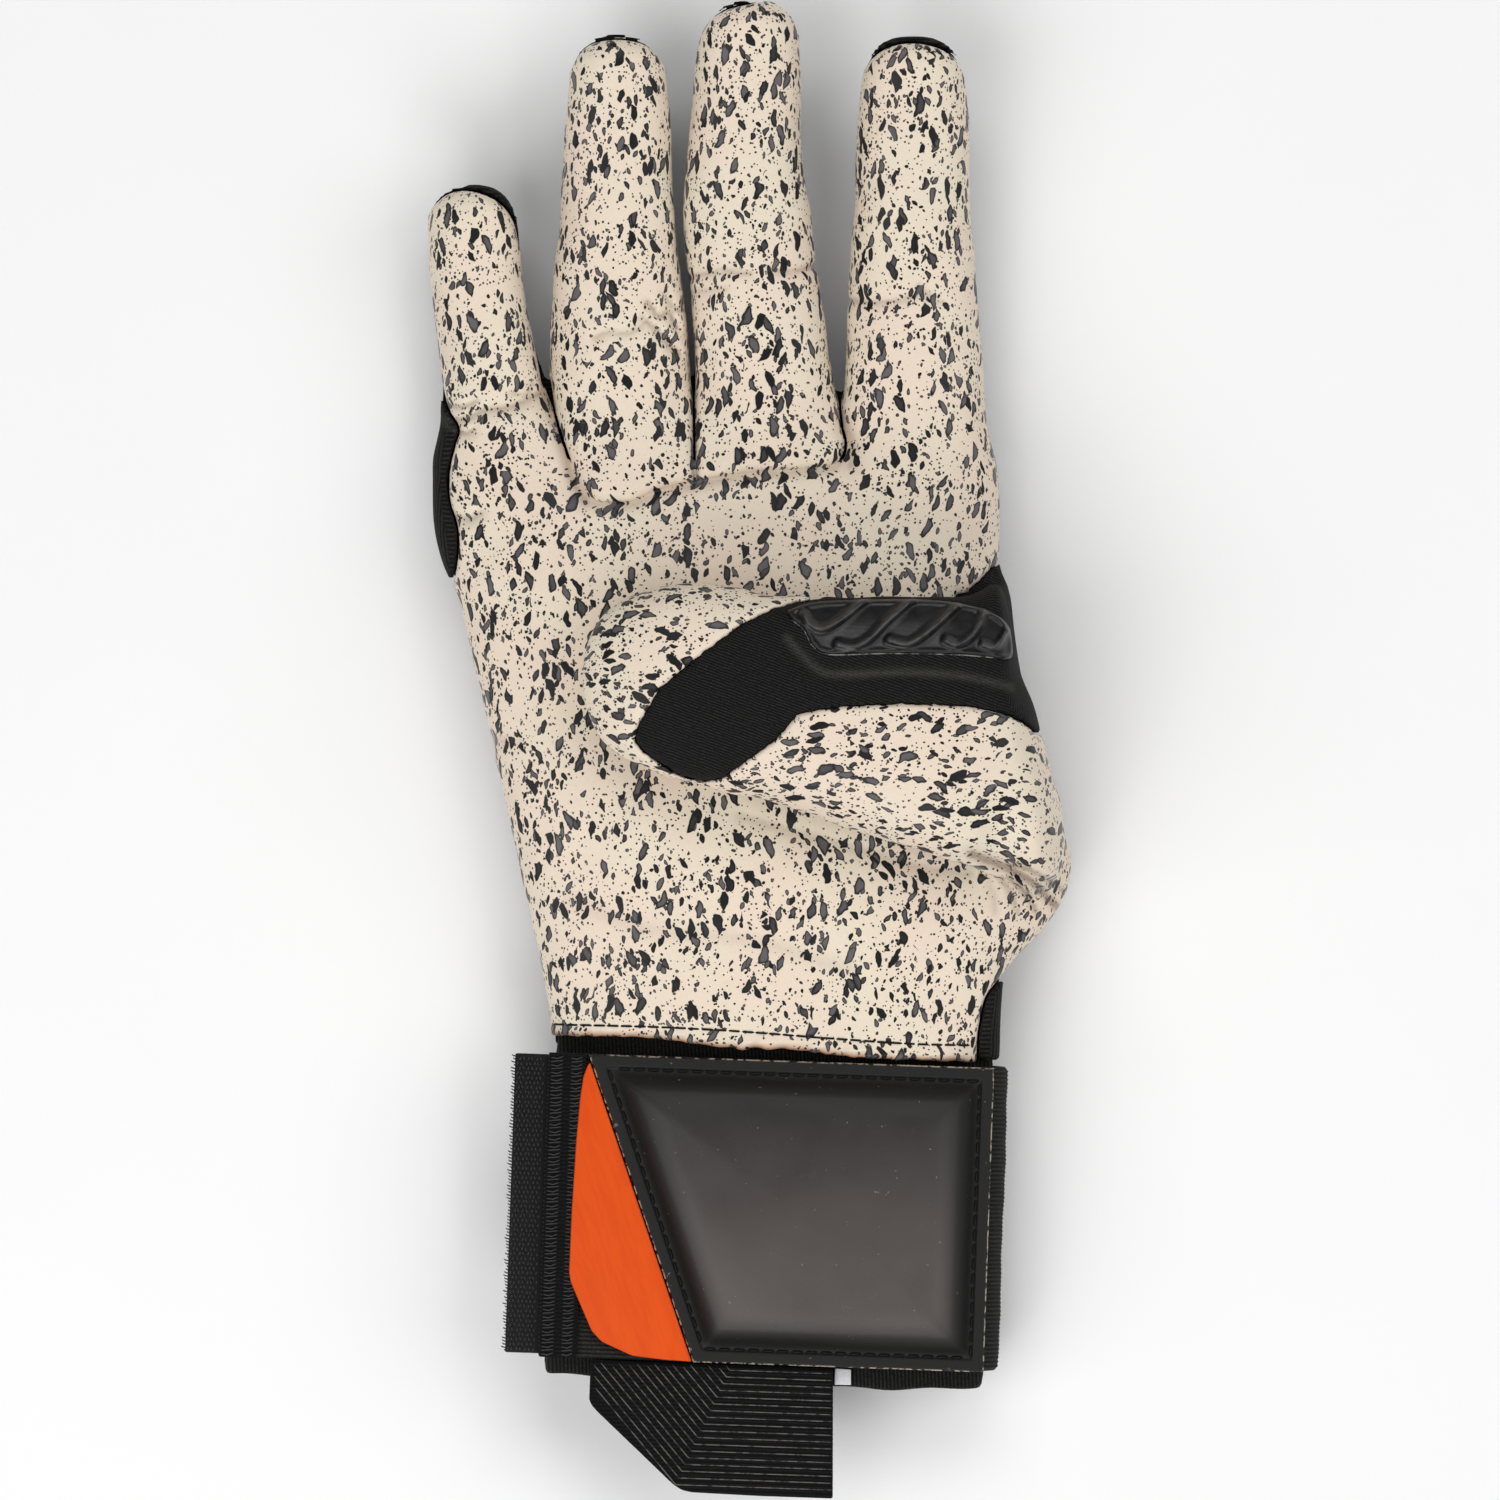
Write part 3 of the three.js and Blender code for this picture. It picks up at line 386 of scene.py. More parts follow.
def finger_rows(finger):
    """Cross-sections of a finger, closer together because its curl bends between the stations."""
    table = np.array(finger["rows"], float)
    dense = np.linspace(table[0, 0], table[-1, 0], 40)
    sides = curve(table, dense)
    lifts = lift_at(dense)
    full = thickness_at(dense) * finger["height"]
    return np.column_stack([dense, sides, lifts, lifts + full])


def bell(value):
    """A soft bump, 1 high where the value is 0."""
    return np.exp(-(value ** 2))


def relief(grid, lines):
    """Lines pressed into a surface, as a depth over the plan."""
    total = np.zeros(grid.shape[:2], np.float32)
    for points, depth, width in lines:
        distance = line_distance(grid, rounded_line(points, 4))
        total = np.maximum(total, depth * bell(distance / width))
    return total[:, :, None]


def relief_at(points, lines):
    """The same depth at single points."""
    x, y = points[:, 0, None, None], points[:, 1, None, None]
    return relief(SimpleNamespace(x=x, y=y, shape=x.shape), lines)[:, 0, 0]


def thumb_field(grid):
    starts, ends = (THUMB_TIP_X, THUMB_TIP_CAP), (THUMB_END, THUMB_END_CAP)
    return tube(grid, 0, THUMB_ROWS, 2.3, starts=starts, ends=ends, power=2.0)


def hand_field(grid):
    """The whole outer form: palm, fingers and thumb. Also gives the hand without the thumb, and the thumb."""
    hand = tube(grid, 1, PALM_ROWS, 3, ends=(PALM_END, PALM_CAP), power=2.2, flat=0.09)
    for finger in FINGERS.values():
        starts, ends = (FINGER_START, FINGER_START_CAP), (finger["tip"], finger["cap"])
        field = tube(grid, 1, finger_rows(finger), 2.3, starts=starts, ends=ends)
        blend = 0.6 + 3.4 * (1 - ramp(grid.y, 128, 142))
        hand = smooth_min(hand, field, blend)
    seams = [(RING_ROOT[1:], 0.9, 1.5), (MIDDLE_ROOT[:-1], 0.9, 1.5)]
    top = ramp(grid.z, 9, 14)
    hand = hand + relief(grid, CREASES + seams) * top
    thumb = thumb_field(grid)
    blend = 0.7 + 5 * ramp(grid.x, 40, 50) - 4.2 * ramp(grid.x, 51, 58)
    whole = smooth_min(hand, thumb, blend)
    whole = whole + relief(grid, THUMB_FOLDS) * ramp(grid.z, 20, 26)
    whole = whole + relief(grid, EMBOSS) * ramp(grid.z, 30, 36)
    whole = whole + relief(grid, HEM_GROOVE) * ramp(grid.z, 14, 18)
    x, y = grid.x, grid.y
    uneven = np.sin(0.31 * x + 1.3) * np.sin(0.23 * y + 0.4)
    uneven = uneven + 0.7 * np.sin(0.47 * x - 0.36 * y) * np.sin(0.13 * y + 2)
    whole = whole + 0.16 * uneven.astype(np.float32) * ramp(grid.z, 9, 14)
    return whole, hand, thumb


def sample(grid, field, points):
    """Trilinear values of a field at points in millimetres."""
    place = (points - grid.low) / grid.step
    top = np.array(field.shape) - 1.001
    place = np.clip(place, 0, top)
    i = place.astype(int)
    f = place - i
    value = 0
    for dx in (0, 1):
        for dy in (0, 1):
            for dz in (0, 1):
                weight = (
                    (f[:, 0] if dx else 1 - f[:, 0])
                    * (f[:, 1] if dy else 1 - f[:, 1])
                    * (f[:, 2] if dz else 1 - f[:, 2])
                )
                value = value + weight * field[i[:, 0] + dx, i[:, 1] + dy, i[:, 2] + dz]
    return value


def surface(grid, field):
    """The zero level of a field as points, quads and normals, one point in each cell that it crosses."""
    inside = field < 0
    corners = [(a, b, c) for a in (0, 1) for b in (0, 1) for c in (0, 1)]
    n = np.array(field.shape) - 1
    count = np.zeros(n, np.uint8)
    for a, b, c in corners:
        count += inside[a : a + n[0], b : b + n[1], c : c + n[2]]
    cells = np.argwhere((count > 0) & (count < 8))
    number = np.full(n, -1, np.int64)
    number[tuple(cells.T)] = np.arange(len(cells))
    total = np.zeros((len(cells), 3))
    hits = np.zeros(len(cells))
    for axis in range(3):
        for a, b in ((0, 0), (0, 1), (1, 0), (1, 1)):
            start = np.insert([a, b], axis, 0)
            end = np.insert([a, b], axis, 1)
            fa = field[tuple((cells + start).T)]
            fb = field[tuple((cells + end).T)]
            crossed = (fa < 0) != (fb < 0)
            share = np.where(crossed, fa / np.where(crossed, fa - fb, 1), 0)
            total += np.where(crossed[:, None], start + share[:, None] * (end - start), 0)
            hits += crossed
    points = grid.low + grid.step * (cells + total / hits[:, None])
    quads = []
    for axis in range(3):
        i, j = [a for a in range(3) if a != axis]
        near = [slice(None)] * 3
        far = [slice(None)] * 3
        near[axis], far[axis] = slice(0, -1), slice(1, None)
        changed = inside[tuple(near)] != inside[tuple(far)]
        edges = np.argwhere(changed)
        edges = edges[(edges[:, i] > 0) & (edges[:, j] > 0)]
        edges = edges[(edges[:, i] < n[i]) & (edges[:, j] < n[j])]
        around = []
        for di, dj in ((-1, -1), (0, -1), (0, 0), (-1, 0)):
            cell = edges.copy()
            cell[:, i] += di
            cell[:, j] += dj
            around.append(number[tuple(cell.T)])
        quad = np.array(around).T
        outward = inside[tuple(edges.T)]
        if axis == 1:
            outward = ~outward
        quad[~outward] = quad[~outward][:, ::-1]
        quads.append(quad)
    slopes = np.gradient(field, grid.step)
    for _ in range(2):
        value = sample(grid, field, points)
        slope = np.column_stack([sample(grid, s, points) for s in slopes])
        length = np.sum(slope * slope, axis=1)
        move = np.clip(value / np.maximum(length, 0.2), -0.5 * grid.step, 0.5 * grid.step)
        points = points - slope * move[:, None]
    slope = np.column_stack([sample(grid, s, points) for s in slopes])
    normals = slope / np.maximum(np.linalg.norm(slope, axis=1), 1e-6)[:, None]
    return points, np.vstack(quads), normals


def mesh_object(name, points, faces, place=HAND, smooth=True, normals=None):
    """A new object from points in millimetres."""
    mesh = bpy.data.meshes.new(name)
    if isinstance(faces, np.ndarray):
        mesh.vertices.add(len(points))
        mesh.vertices.foreach_set("co", np.asarray(points, np.float32).ravel())
        sides = faces.shape[1]
        mesh.loops.add(faces.size)
        mesh.loops.foreach_set("vertex_index", faces.ravel().astype(np.int32))
        mesh.polygons.add(len(faces))
        mesh.polygons.foreach_set("loop_start", np.arange(0, faces.size, sides, dtype=np.int32))
        mesh.polygons.foreach_set("loop_total", np.full(len(faces), sides, np.int32))
        mesh.update(calc_edges=True)
    else:
        mesh.from_pydata([tuple(p) for p in points], [], faces)
    mesh.validate()
    mesh.transform(place)
    if smooth:
        mesh.shade_smooth()
    if normals is not None and len(mesh.vertices) == len(normals):
        mesh.normals_split_custom_set_from_vertices(normals)
    obj = bpy.data.objects.new(name, mesh)
    bpy.context.scene.collection.objects.link(obj)
    return obj


def attribute(obj, name, values):
    layer = obj.data.attributes.new(name, "FLOAT", "POINT")
    layer.data.foreach_set("value", np.asarray(values, np.float32))


def finished(obj, slot, material, *nodes):
    obj.data.materials.clear()
    obj.data.materials.append(material)
    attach(obj, "root")
    if nodes:
        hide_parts(*nodes)
    return obj


class Shader:
    """Short calls for a material's nodes."""

    def __init__(self, name):
        self.material = bpy.data.materials.new(name)
        self.material.use_nodes = True
        self.tree = self.material.node_tree
        self.bsdf = self.tree.nodes["Principled BSDF"]
        coordinates = self.tree.nodes.new("ShaderNodeTexCoord")
        self.mm = self.vector("MULTIPLY", coordinates.outputs["Object"], (1000, 1000, 1000))

    def put(self, socket, value):
        if isinstance(value, bpy.types.NodeSocket):
            self.tree.links.new(value, socket)
        else:
            socket.default_value = value

    def set(self, **values):
        for name, value in values.items():
            self.put(self.bsdf.inputs[name.replace("_", " ")], value)

    def node(self, kind, inputs, **settings):
        node = self.tree.nodes.new("ShaderNode" + kind)
        for name, value in settings.items():
            setattr(node, name, value)
        for name, value in inputs.items():
            self.put(node.inputs[name], value)
        return node

    def vector(self, operation, *inputs):
        return self.node("VectorMath", dict(enumerate(inputs)), operation=operation).outputs[0]

    def math(self, operation, *inputs):
        return self.node("Math", dict(enumerate(inputs)), operation=operation).outputs[0]

    def times(self, a, b, *plus):
        return self.math("MULTIPLY_ADD" if plus else "MULTIPLY", a, b, *plus)

    def split(self, value):
        return self.node("SeparateXYZ", {0: value}).outputs

    def join(self, x, y, z):
        return self.node("CombineXYZ", {0: x, 1: y, 2: z}).outputs[0]

    def noise(self, place, scale, detail=2.0, rough=0.5, color=False):
        node = self.node("TexNoise", {"Vector": place, "Scale": scale, "Detail": detail, "Roughness": rough})
        return node.outputs["Color" if color else 0]

    def range(self, value, low, high, to_low=0.0, to_high=1.0):
        inputs = {0: value, 1: low, 2: high, 3: to_low, 4: to_high}
        return self.node("MapRange", inputs, interpolation_type="SMOOTHSTEP").outputs[0]

    def mix(self, factor, a, b):
        node = self.node("Mix", {}, data_type="RGBA")
        for index, value in ((0, factor), (6, a), (7, b)):
            self.put(node.inputs[index], (*value, 1) if isinstance(value, tuple) else value)
        return node.outputs[2]

    def blend(self, factor, a, b):
        """A number between a and b."""
        return self.times(self.math("SUBTRACT", b, a), factor, a)

    def attribute(self, name):
        return self.node("Attribute", {}, attribute_name=name).outputs["Fac"]

    def bump(self, height, distance):
        return self.node("Bump", {"Height": height, "Distance": distance, "Strength": 1.0}).outputs[0]


def tone(red, green, blue):
    """A linear colour from the usual 0 to 255 values."""
    values = [c / 255 for c in (red, green, blue)]
    return tuple(c / 12.92 if c <= 0.04045 else ((c + 0.055) / 1.055) ** 2.4 for c in values)


def flakes(s, place, crowd, spacing, stretch, width, length, share, turn, curl, offset):
    """Leaf-shaped flecks, one in some of the cells, as a 0 to 1 mask and a painted sheen for each fleck,
    lightest in its middle.
    """
    scale = (1 / spacing, 1 / (spacing * stretch), 1)
    cells = s.vector("MULTIPLY_ADD", place, scale, (offset, offset * 1.7, 0))
    inputs = {"Vector": cells, "Scale": 1.0, "Randomness": 0.9}
    voronoi = s.node("TexVoronoi", inputs, voronoi_dimensions="2D")
    away = s.vector("SUBTRACT", cells, voronoi.outputs["Position"])
    away = s.vector("MULTIPLY", away, (spacing, spacing * stretch, 0))
    draw = s.split(voronoi.outputs["Color"])
    angle = s.times(draw[0], 2 * turn, -turn)
    rotated = s.node("VectorRotate", {"Vector": away, "Angle": angle}, rotation_type="Z_AXIS").outputs[0]
    x, y, z = s.split(rotated)
    bend = s.times(s.times(draw[1], 2 * curl, -curl), s.times(y, y))
    size = s.times(draw[1], 0.8, 0.55)
    wide = s.math("DIVIDE", s.math("ABSOLUTE", s.math("ADD", x, bend)), s.times(size, width))
    long = s.math("DIVIDE", y, s.times(size, length))
    shape = s.math("ADD", s.math("POWER", wide, 1.5), s.times(long, long))
    there = s.math("LESS_THAN", draw[2], s.times(crowd, share))
    mask = s.times(s.range(shape, 0.88, 1.1, 1.0, 0.0), there)
    # Painted sheen: each fleck gets its own grey, lighter in its middle and darker at its rim
    fleck_painted_sheen = s.times(s.math("FRACT", s.times(draw[0], 7)), s.range(shape, 0.15, 0.9, 1.0, 0.3))
    return mask, fleck_painted_sheen


def speckled_latex():
    s = Shader("speckled_latex")
    on_thumb = s.math("GREATER_THAN", s.attribute("thumb"), 0.5)
    across = s.blend(on_thumb, s.attribute("hand_across"), s.attribute("thumb_across"))
    along = s.blend(on_thumb, s.attribute("hand_along"), s.attribute("thumb_along"))
    place = s.join(across, along, 0.0)
    wander = s.vector("SUBTRACT", s.noise(place, 0.45, 1.0, 0.5, color=True), (0.5, 0.5, 0.5))
    ragged = s.vector("MULTIPLY_ADD", wander, (1.5, 1.5, 0), place)
    small_wander = s.vector("SUBTRACT", s.noise(place, 1.2, 0.0, 0.5, color=True), (0.5, 0.5, 0.5))
    rough_place = s.vector("MULTIPLY_ADD", small_wander, (0.4, 0.4, 0), place)
    crowd = s.range(s.noise(place, 0.11, 1.0), 0.35, 0.65, 0.65, 1.4)
    layers = [
        flakes(s, ragged, crowd, 3.5, 1.5, 0.76, 1.8, 0.45, 0.6, 0.14, 0.0),
        flakes(s, ragged, crowd, 3.2, 1.5, 0.7, 1.6, 0.4, 0.7, 0.18, 31.7),
        flakes(s, rough_place, crowd, 2.4, 1.3, 0.42, 0.8, 0.5, 0.8, 0.2, 11.3),
        flakes(s, rough_place, crowd, 1.65, 1.2, 0.27, 0.36, 0.5, 1.5, 0.0, 5.1),
        flakes(s, place, crowd, 1.0, 1.0, 0.17, 0.2, 0.42, 1.5, 0.0, 17.9),
    ]
    mask, painted_fleck_sheen = layers[0]
    for other, other_pick in layers[1:]:
        painted_fleck_sheen = s.blend(s.math("GREATER_THAN", other, mask), painted_fleck_sheen, other_pick)
        mask = s.math("MAXIMUM", mask, other)
    patch = s.noise(s.mm, 0.05, 3.0, 0.5)
    cream = s.mix(s.range(patch, 0.35, 0.65), tone(236, 224, 203), tone(238, 220, 201))
    grain = s.noise(s.mm, 2.2, 3.0, 0.6)
    cream = s.mix(s.times(s.range(grain, 0.4, 0.75), 0.25), cream, tone(219, 199, 172))
    # Painted shade: the cream turns brown in the creases and where the panels meet
    cream = s.mix(s.times(s.attribute("painted_fold_shading"), 0.65), cream, tone(118, 90, 66))
    cream = s.mix(s.attribute("raw"), cream, tone(150, 96, 52))
    # The flecks run from near black to grey, and the grey is a painted sheen
    dark = s.mix(s.range(painted_fleck_sheen, 0.2, 0.9), tone(18, 18, 19), tone(100, 96, 98))
    color = s.mix(mask, cream, dark)
    height = s.times(mask, 0.5, s.times(grain, 0.2))
    s.set(
        Base_Color=color,
        Roughness=s.blend(mask, 0.6, 0.4),
        Specular_IOR_Level=0.3,
        Normal=s.bump(height, 0.00012),
        Sheen_Weight=0.08,
        Sheen_Roughness=0.5,
    )
    return s.material


def black_cloth(name, pitch, angle, light, dark):
    """Fine lines of cloth, laid on whichever two axes the surface faces least."""
    s = Shader(name)
    x, y, z = s.split(s.mm)
    facing = s.split(s.node("NewGeometry", {}).outputs["Normal"])
    stray = s.times(s.noise(s.mm, 0.35, 2.0, 0.5), 0.5)
    wave = None
    for first, second, side in ((x, y, 2), (x, z, 1), (y, z, 0)):
        run = s.times(first, math.sin(angle), s.times(second, math.cos(angle)))
        run = s.times(s.math("ADD", run, stray), 2 * math.pi / pitch)
        line = s.range(s.math("SINE", run), -1, 1)
        turned = s.range(s.math("ABSOLUTE", facing[side]), 0.6, 0.75)
        wave = line if wave is None else s.blend(turned, wave, line)
    fuzz = s.noise(s.mm, 3.5, 3.0, 0.7)
    thread = s.times(wave, s.range(fuzz, 0.25, 0.7))
    # Painted highlight: the cloth turns lighter grey along the pressed line and the creases
    s.set(
        Base_Color=s.mix(
            s.times(s.attribute("painted_fold_shading"), s.range(fuzz, 0.3, 0.6, 0.2, 0.6)),
            s.mix(thread, tone(*dark), tone(*light)),
            tone(86, 85, 82),
        ),
        Roughness=0.85,
        Normal=s.bump(s.times(fuzz, 0.5, wave), 0.00008),
        Specular_IOR_Level=0.12,
        Sheen_Weight=0.06,
        Sheen_Roughness=0.45,
        Sheen_Tint=(0.35, 0.35, 0.36, 1),
    )
    return s.material


def glossy_rubber():
    s = Shader("glossy_rubber")
    marks = s.noise(s.mm, 0.35, 4.0, 0.6)
    # Painted highlight: the rubber turns lighter grey in patches along the rib crests
    s.set(
        Base_Color=s.mix(
            s.times(s.attribute("painted_crest_highlight"), s.range(marks, 0.35, 0.6, 0.25, 0.9)),
            s.mix(marks, tone(4, 4, 5), tone(10, 10, 11)),
            tone(74, 73, 72),
        ),
        Roughness=s.range(marks, 0.3, 0.7, 0.32, 0.46),
        Specular_IOR_Level=0.5,
        Normal=s.bump(s.noise(s.mm, 1.2, 2.0), 0.00002),
    )
    return s.material


LATEX = speckled_latex()
TWILL = black_cloth("black_twill", 0.55, 0.35, (50, 50, 49), (11, 11, 11))
KNIT = black_cloth("black_knit", 0.9, 0.0, (52, 51, 48), (14, 14, 13))
RUBBER = glossy_rubber()

# The hand: one outer form, a wall inside it, and a panel for each region of that wall

grid = Grid([-68.4, -6, -2], [68.4, 213.4, 52], 0.8)
whole, hand, thumb = hand_field(grid)
WALL = 3.0
shell = np.maximum(whole, -(whole + WALL))


def plan_distance(*outline):
    """Signed distance in plan from an outline in one or more runs, for use with the fields."""
    return region_distance(grid, np.vstack(outline))[:, :, None]


middle_region = plan_distance(rounded_line(MIDDLE_ROOT), rounded_line(RING_MIDDLE)[::-1])
ring_region = plan_distance(rounded_line(RING_ROOT), rounded_line(RING_MIDDLE)[1:])
wedge_plan = plan_distance(WEDGE)
wedge_plan = wedge_plan + 0.22 * np.sin(1.9 * grid.x + 0.7 * grid.y) * np.sin(0.9 * grid.x - 1.5 * grid.y)
wedge_plan = wedge_plan + 0.12 * np.sin(3.3 * grid.x + 2.1 * grid.y)

# The wedge lies on the thumb only, and down the glove's side beyond the thumb's base
wedge_floor = 35.5 - 27.3 * ramp(grid.x, 38.5, 43)
wedge = np.maximum(wedge_plan, wedge_floor - grid.z)
wedge = np.maximum(wedge, parting_at(grid.y) - grid.z)

# Latex reaches down to the parting line, and stops short of the tips, the knuckle and the wrist's side
latex = (parting_at(grid.y) - grid.z).astype(np.float32) + 0 * grid.x
for name, points in TIP_EDGES.items():
    line = rounded_line(points, 3) - (0, TIP_SHOWN[name])
    latex = np.maximum(latex, -plan_distance(line, [[line[-1][0], 230], [line[0][0], 230]]))
latex = np.maximum(latex, -plan_distance(rounded_line(KNUCKLE, 4), [[-90, 141], [-90, 86]]))
latex = np.maximum(latex, -plan_distance(rounded_line(WRIST_SIDE, 3), [[90, 26], [90, -30], [45.6, -30]]))

# The wrist's end is a raw cut edge, a little ragged
edge = rounded_line(WRIST_EDGE, 8)
edge[:, 1] += 0.4 * bell((edge[:, 0] - 2) / 9) * np.sin(1.25 * edge[:, 0])
edge[:, 1] += 0.22 * np.sin(edge[:, 0] * 1.9) * np.sin(edge[:, 0] * 0.53) + 0.12 * np.sin(edge[:, 0] * 4.1)
wrist_end = -plan_distance(edge, [[90, -90], [-90, -90]])
BACK_REACH = -0.6
back_end = BACK_REACH - (grid.y * math.cos(WRIST_TURN) - (grid.x - WRIST_SHIFT) * math.sin(WRIST_TURN))

half = GAP / 2
ROUND, SOFT, RAW_EDGE = 1.1, 2.2, 0.5
SEAM = 0.05


def cut(field, *limits, k=ROUND):
    for limit in limits:
        field = smooth_max(field, limit + 0 * grid.z, k)
    return field


hand_latex = cut(shell, latex + half, SEAM - wedge)
hand_latex = cut(hand_latex, SEAM - middle_region, SEAM - ring_region, k=SOFT)
hand_latex = cut(hand_latex, wrist_end, k=RAW_EDGE)

# Under each finger's seam the palm runs on a little, deeper down
FLANGE_DEPTH, FLANGE_HALF, FLANGE_END = 1.2, 1.9, 118
for region in (middle_region, ring_region):
    flange = np.maximum(shell, whole + FLANGE_DEPTH)
    flange = np.maximum(flange, np.maximum(latex + half, np.abs(region + 0.5) - FLANGE_HALF))
    hand_latex = np.minimum(hand_latex, np.maximum(flange, np.maximum(SEAM - wedge, grid.y - FLANGE_END)))

middle_latex = cut(cut(shell, latex + half), middle_region + SEAM, k=SOFT)
ring_latex = cut(cut(shell, latex + half), ring_region + SEAM, k=SOFT)
backhand = cut(shell, -latex + half)
backhand = cut(backhand, back_end, k=RAW_EDGE)
thumb_back = cut(shell, wedge + SEAM)


def skin_places(points):
    """Places along and across the skin, so that the speckles keep their size where it turns down."""
    x, y, z = points.T
    left, right, _, top = curve(PALM_ROWS, y).T
    across = x + 0.8 * np.clip((x - (left + right) / 2) / 3, -1, 1) * np.maximum(top - z, 0)
    best = np.full(len(x), 1e3)
    finger_across, finger_along = across.copy(), y.copy()
    for finger in FINGERS.values():
        left, right, _, top = curve(finger_rows(finger), y).T
        share = (x - (left + right) / 2) / ((right - left) / 2)
        drop = 0.8 * np.maximum(top - z, 0)
        nearer = np.abs(share) < best
        best = np.where(nearer, np.abs(share), best)
        finger_across = np.where(nearer, x + np.clip(3 * share, -1, 1) * drop, finger_across)
        finger_along = np.where(nearer, y + drop * ramp(y, finger["tip"] - 6, finger["tip"]), finger_along)
    weight = ramp(y, 108, 124)
    low, high, bottom, top = curve(THUMB_ROWS, x).T
    drop = 0.65 * np.maximum(top - z, 0) + 1.9 * np.maximum((bottom + top) / 2 - z, 0) * ramp(-x, -5, 5)
    side = ramp(x, 50, 60)
    ahead, beside = np.minimum(x + 22, 0), y - (low + high) / 2
    far = np.maximum(np.hypot(ahead, beside), 3)
    return {
        "hand_across": (1 - weight) * across + weight * finger_across,
        "hand_along": (1 - weight) * y + weight * finger_along,
        "thumb_across": y + beside / far * drop * (1 - side),
        "thumb_along": x + ahead / far * drop + 1.3 * drop * side,
    }


def panel(name, field, slot, material, *nodes):
    points, quads, normals = surface(grid, field)
    obj = mesh_object(name, points, quads, normals=normals)
    attribute(obj, "thumb", sample(grid, thumb, points) < sample(grid, hand, points))
    for key, values in skin_places(points).items():
        attribute(obj, key, values)
    # Painted shade on the latex and painted highlight on the cloth, along the folds and meeting edges
    attribute(obj, "painted_fold_shading", np.clip(relief_at(points, FOLD_SHADE), 0, 1) * ramp(points[:, 2], 9, 14))
    attribute(obj, "raw", np.clip(1 - np.abs(sample(grid, wrist_end + 0 * grid.z, points)) / RAW_BAND, 0, 1))
    return finished(obj, slot, material, *nodes)


RAW_BAND = 1.2
panels = [
    panel("hand_latex", hand_latex, "latex", LATEX, "palm_latex", "thumb_latex"),
    panel("middle_finger_front", middle_latex, "latex", LATEX, "middle_finger_latex"),
    panel("ring_finger_front", ring_latex, "latex", LATEX, "ring_finger_latex"),
    panel("backhand_knit", backhand, "backhand_fabric", KNIT, "backhand"),
    panel("thumb_back", thumb_back, "black_fabric", TWILL, "thumb_back_fabric"),
]

# The grip panel: a thin glossy skin over the thumb's back with slanted soft ribs

RIB_PANEL_LOW = 38.5
SKIN_RISE, RIB_RISE, LIP_RISE = 0.4, 1.3, 0.4
RIB_HALF = 0.75
RIB_PANEL = [[7, 87.6], [11.4, 89.2], [17.6, 89.8], [30, 90], [37, 89.8], [41, 89.3], [46, 88.2], [50, 86.2],
             [52.2, 83], [51.8, 78], [46, 78.5], [40, 78.9], [27.4, 79.1], [15.6, 78.9], [12.4, 80.6],
             [11.4, 82.4], [10.4, 84.1], [8.2, 85.8]]
RIBS = [
    [[10.6, 87], [11.9, 85], [14.4, 84.1], [17.6, 85.6], [20.7, 88], [22.8, 89.6]],
    [[17.4, 80.9], [20.8, 80.5], [24, 82.3], [27, 85.4], [30.7, 88.6], [32.4, 89.8]],
    [[27.6, 81.8], [30.8, 81], [33.4, 82.1], [36.5, 84.5], [39.2, 87], [41, 88.6]],
    [[38.8, 81.8], [41, 80.9], [43.6, 82.4], [45.4, 84.8], [46.4, 87.4]],
    [[46.2, 81], [48.2, 80.4], [49.6, 81.6], [50.8, 83.6]],
]
fine = Grid([5, 73, 28], [57, 97, 51], 0.35)
places = np.stack(np.meshgrid(*fine.axes, indexing="ij"), -1).reshape(-1, 3)
fine_thumb = sample(grid, np.minimum(whole, thumb), places).reshape(fine.shape)
ridge = np.zeros(fine.shape[:2])
for rib in RIBS:
    ridge = np.maximum(ridge, bell(line_distance(fine, rounded_line(rib)) / RIB_HALF))
rib_plan = region_distance(fine, rounded_line(RIB_PANEL + RIB_PANEL[:1], 3))
lip = bell((rib_plan + 0.6) / 0.4)
skin = fine_thumb - (SKIN_RISE + RIB_RISE * ridge + LIP_RISE * lip)[:, :, None]
skin = smooth_max(smooth_max(skin, -(fine_thumb + 0.2), 0.3), rib_plan[:, :, None] + 0 * skin, 0.6)
skin = smooth_max(skin, RIB_PANEL_LOW - fine.z, 0.6)
points, quads, normals = surface(fine, skin)
ribs = mesh_object("thumb_grip_skin", points, quads, normals=normals)
# Where the rib crests get a painted highlight
attribute(ribs, "painted_crest_highlight", relief_at(points, [(rib, 1.0, 0.5) for rib in RIBS]))
finished(ribs, "grip_rubber", RUBBER, "thumb_grip_ribs")

# The wrist parts, in the wrist's own frame: u across, v along the arm, z up

STRAP_HIGH, STRAP_LOW = -2.0, -62.8
STRAP_LEFT, STRAP_RIGHT = -45.3, 47.06
STRAP_TOP, STRAP_THICK = 22.32, 2.2
LAYER = 22.68
BINDING_LEFT, BINDING_RIGHT = -44.94, -37.54
PAD_OUTLINE = [(-37.18, STRAP_HIGH), (-14.18, STRAP_LOW), (43.86, STRAP_LOW), (43.86, STRAP_HIGH)]


def ring_faces(rings, count, loop=False):
    """Quads between rings of equal count. With loop, the last ring joins the first."""
    faces = []
    for r in range(rings if loop else rings - 1):
        a, b = r * count, ((r + 1) % rings) * count
        for i in range(count):
            j = (i + 1) % count
            faces.append((a + i, a + j, b + j, b + i))
    return faces


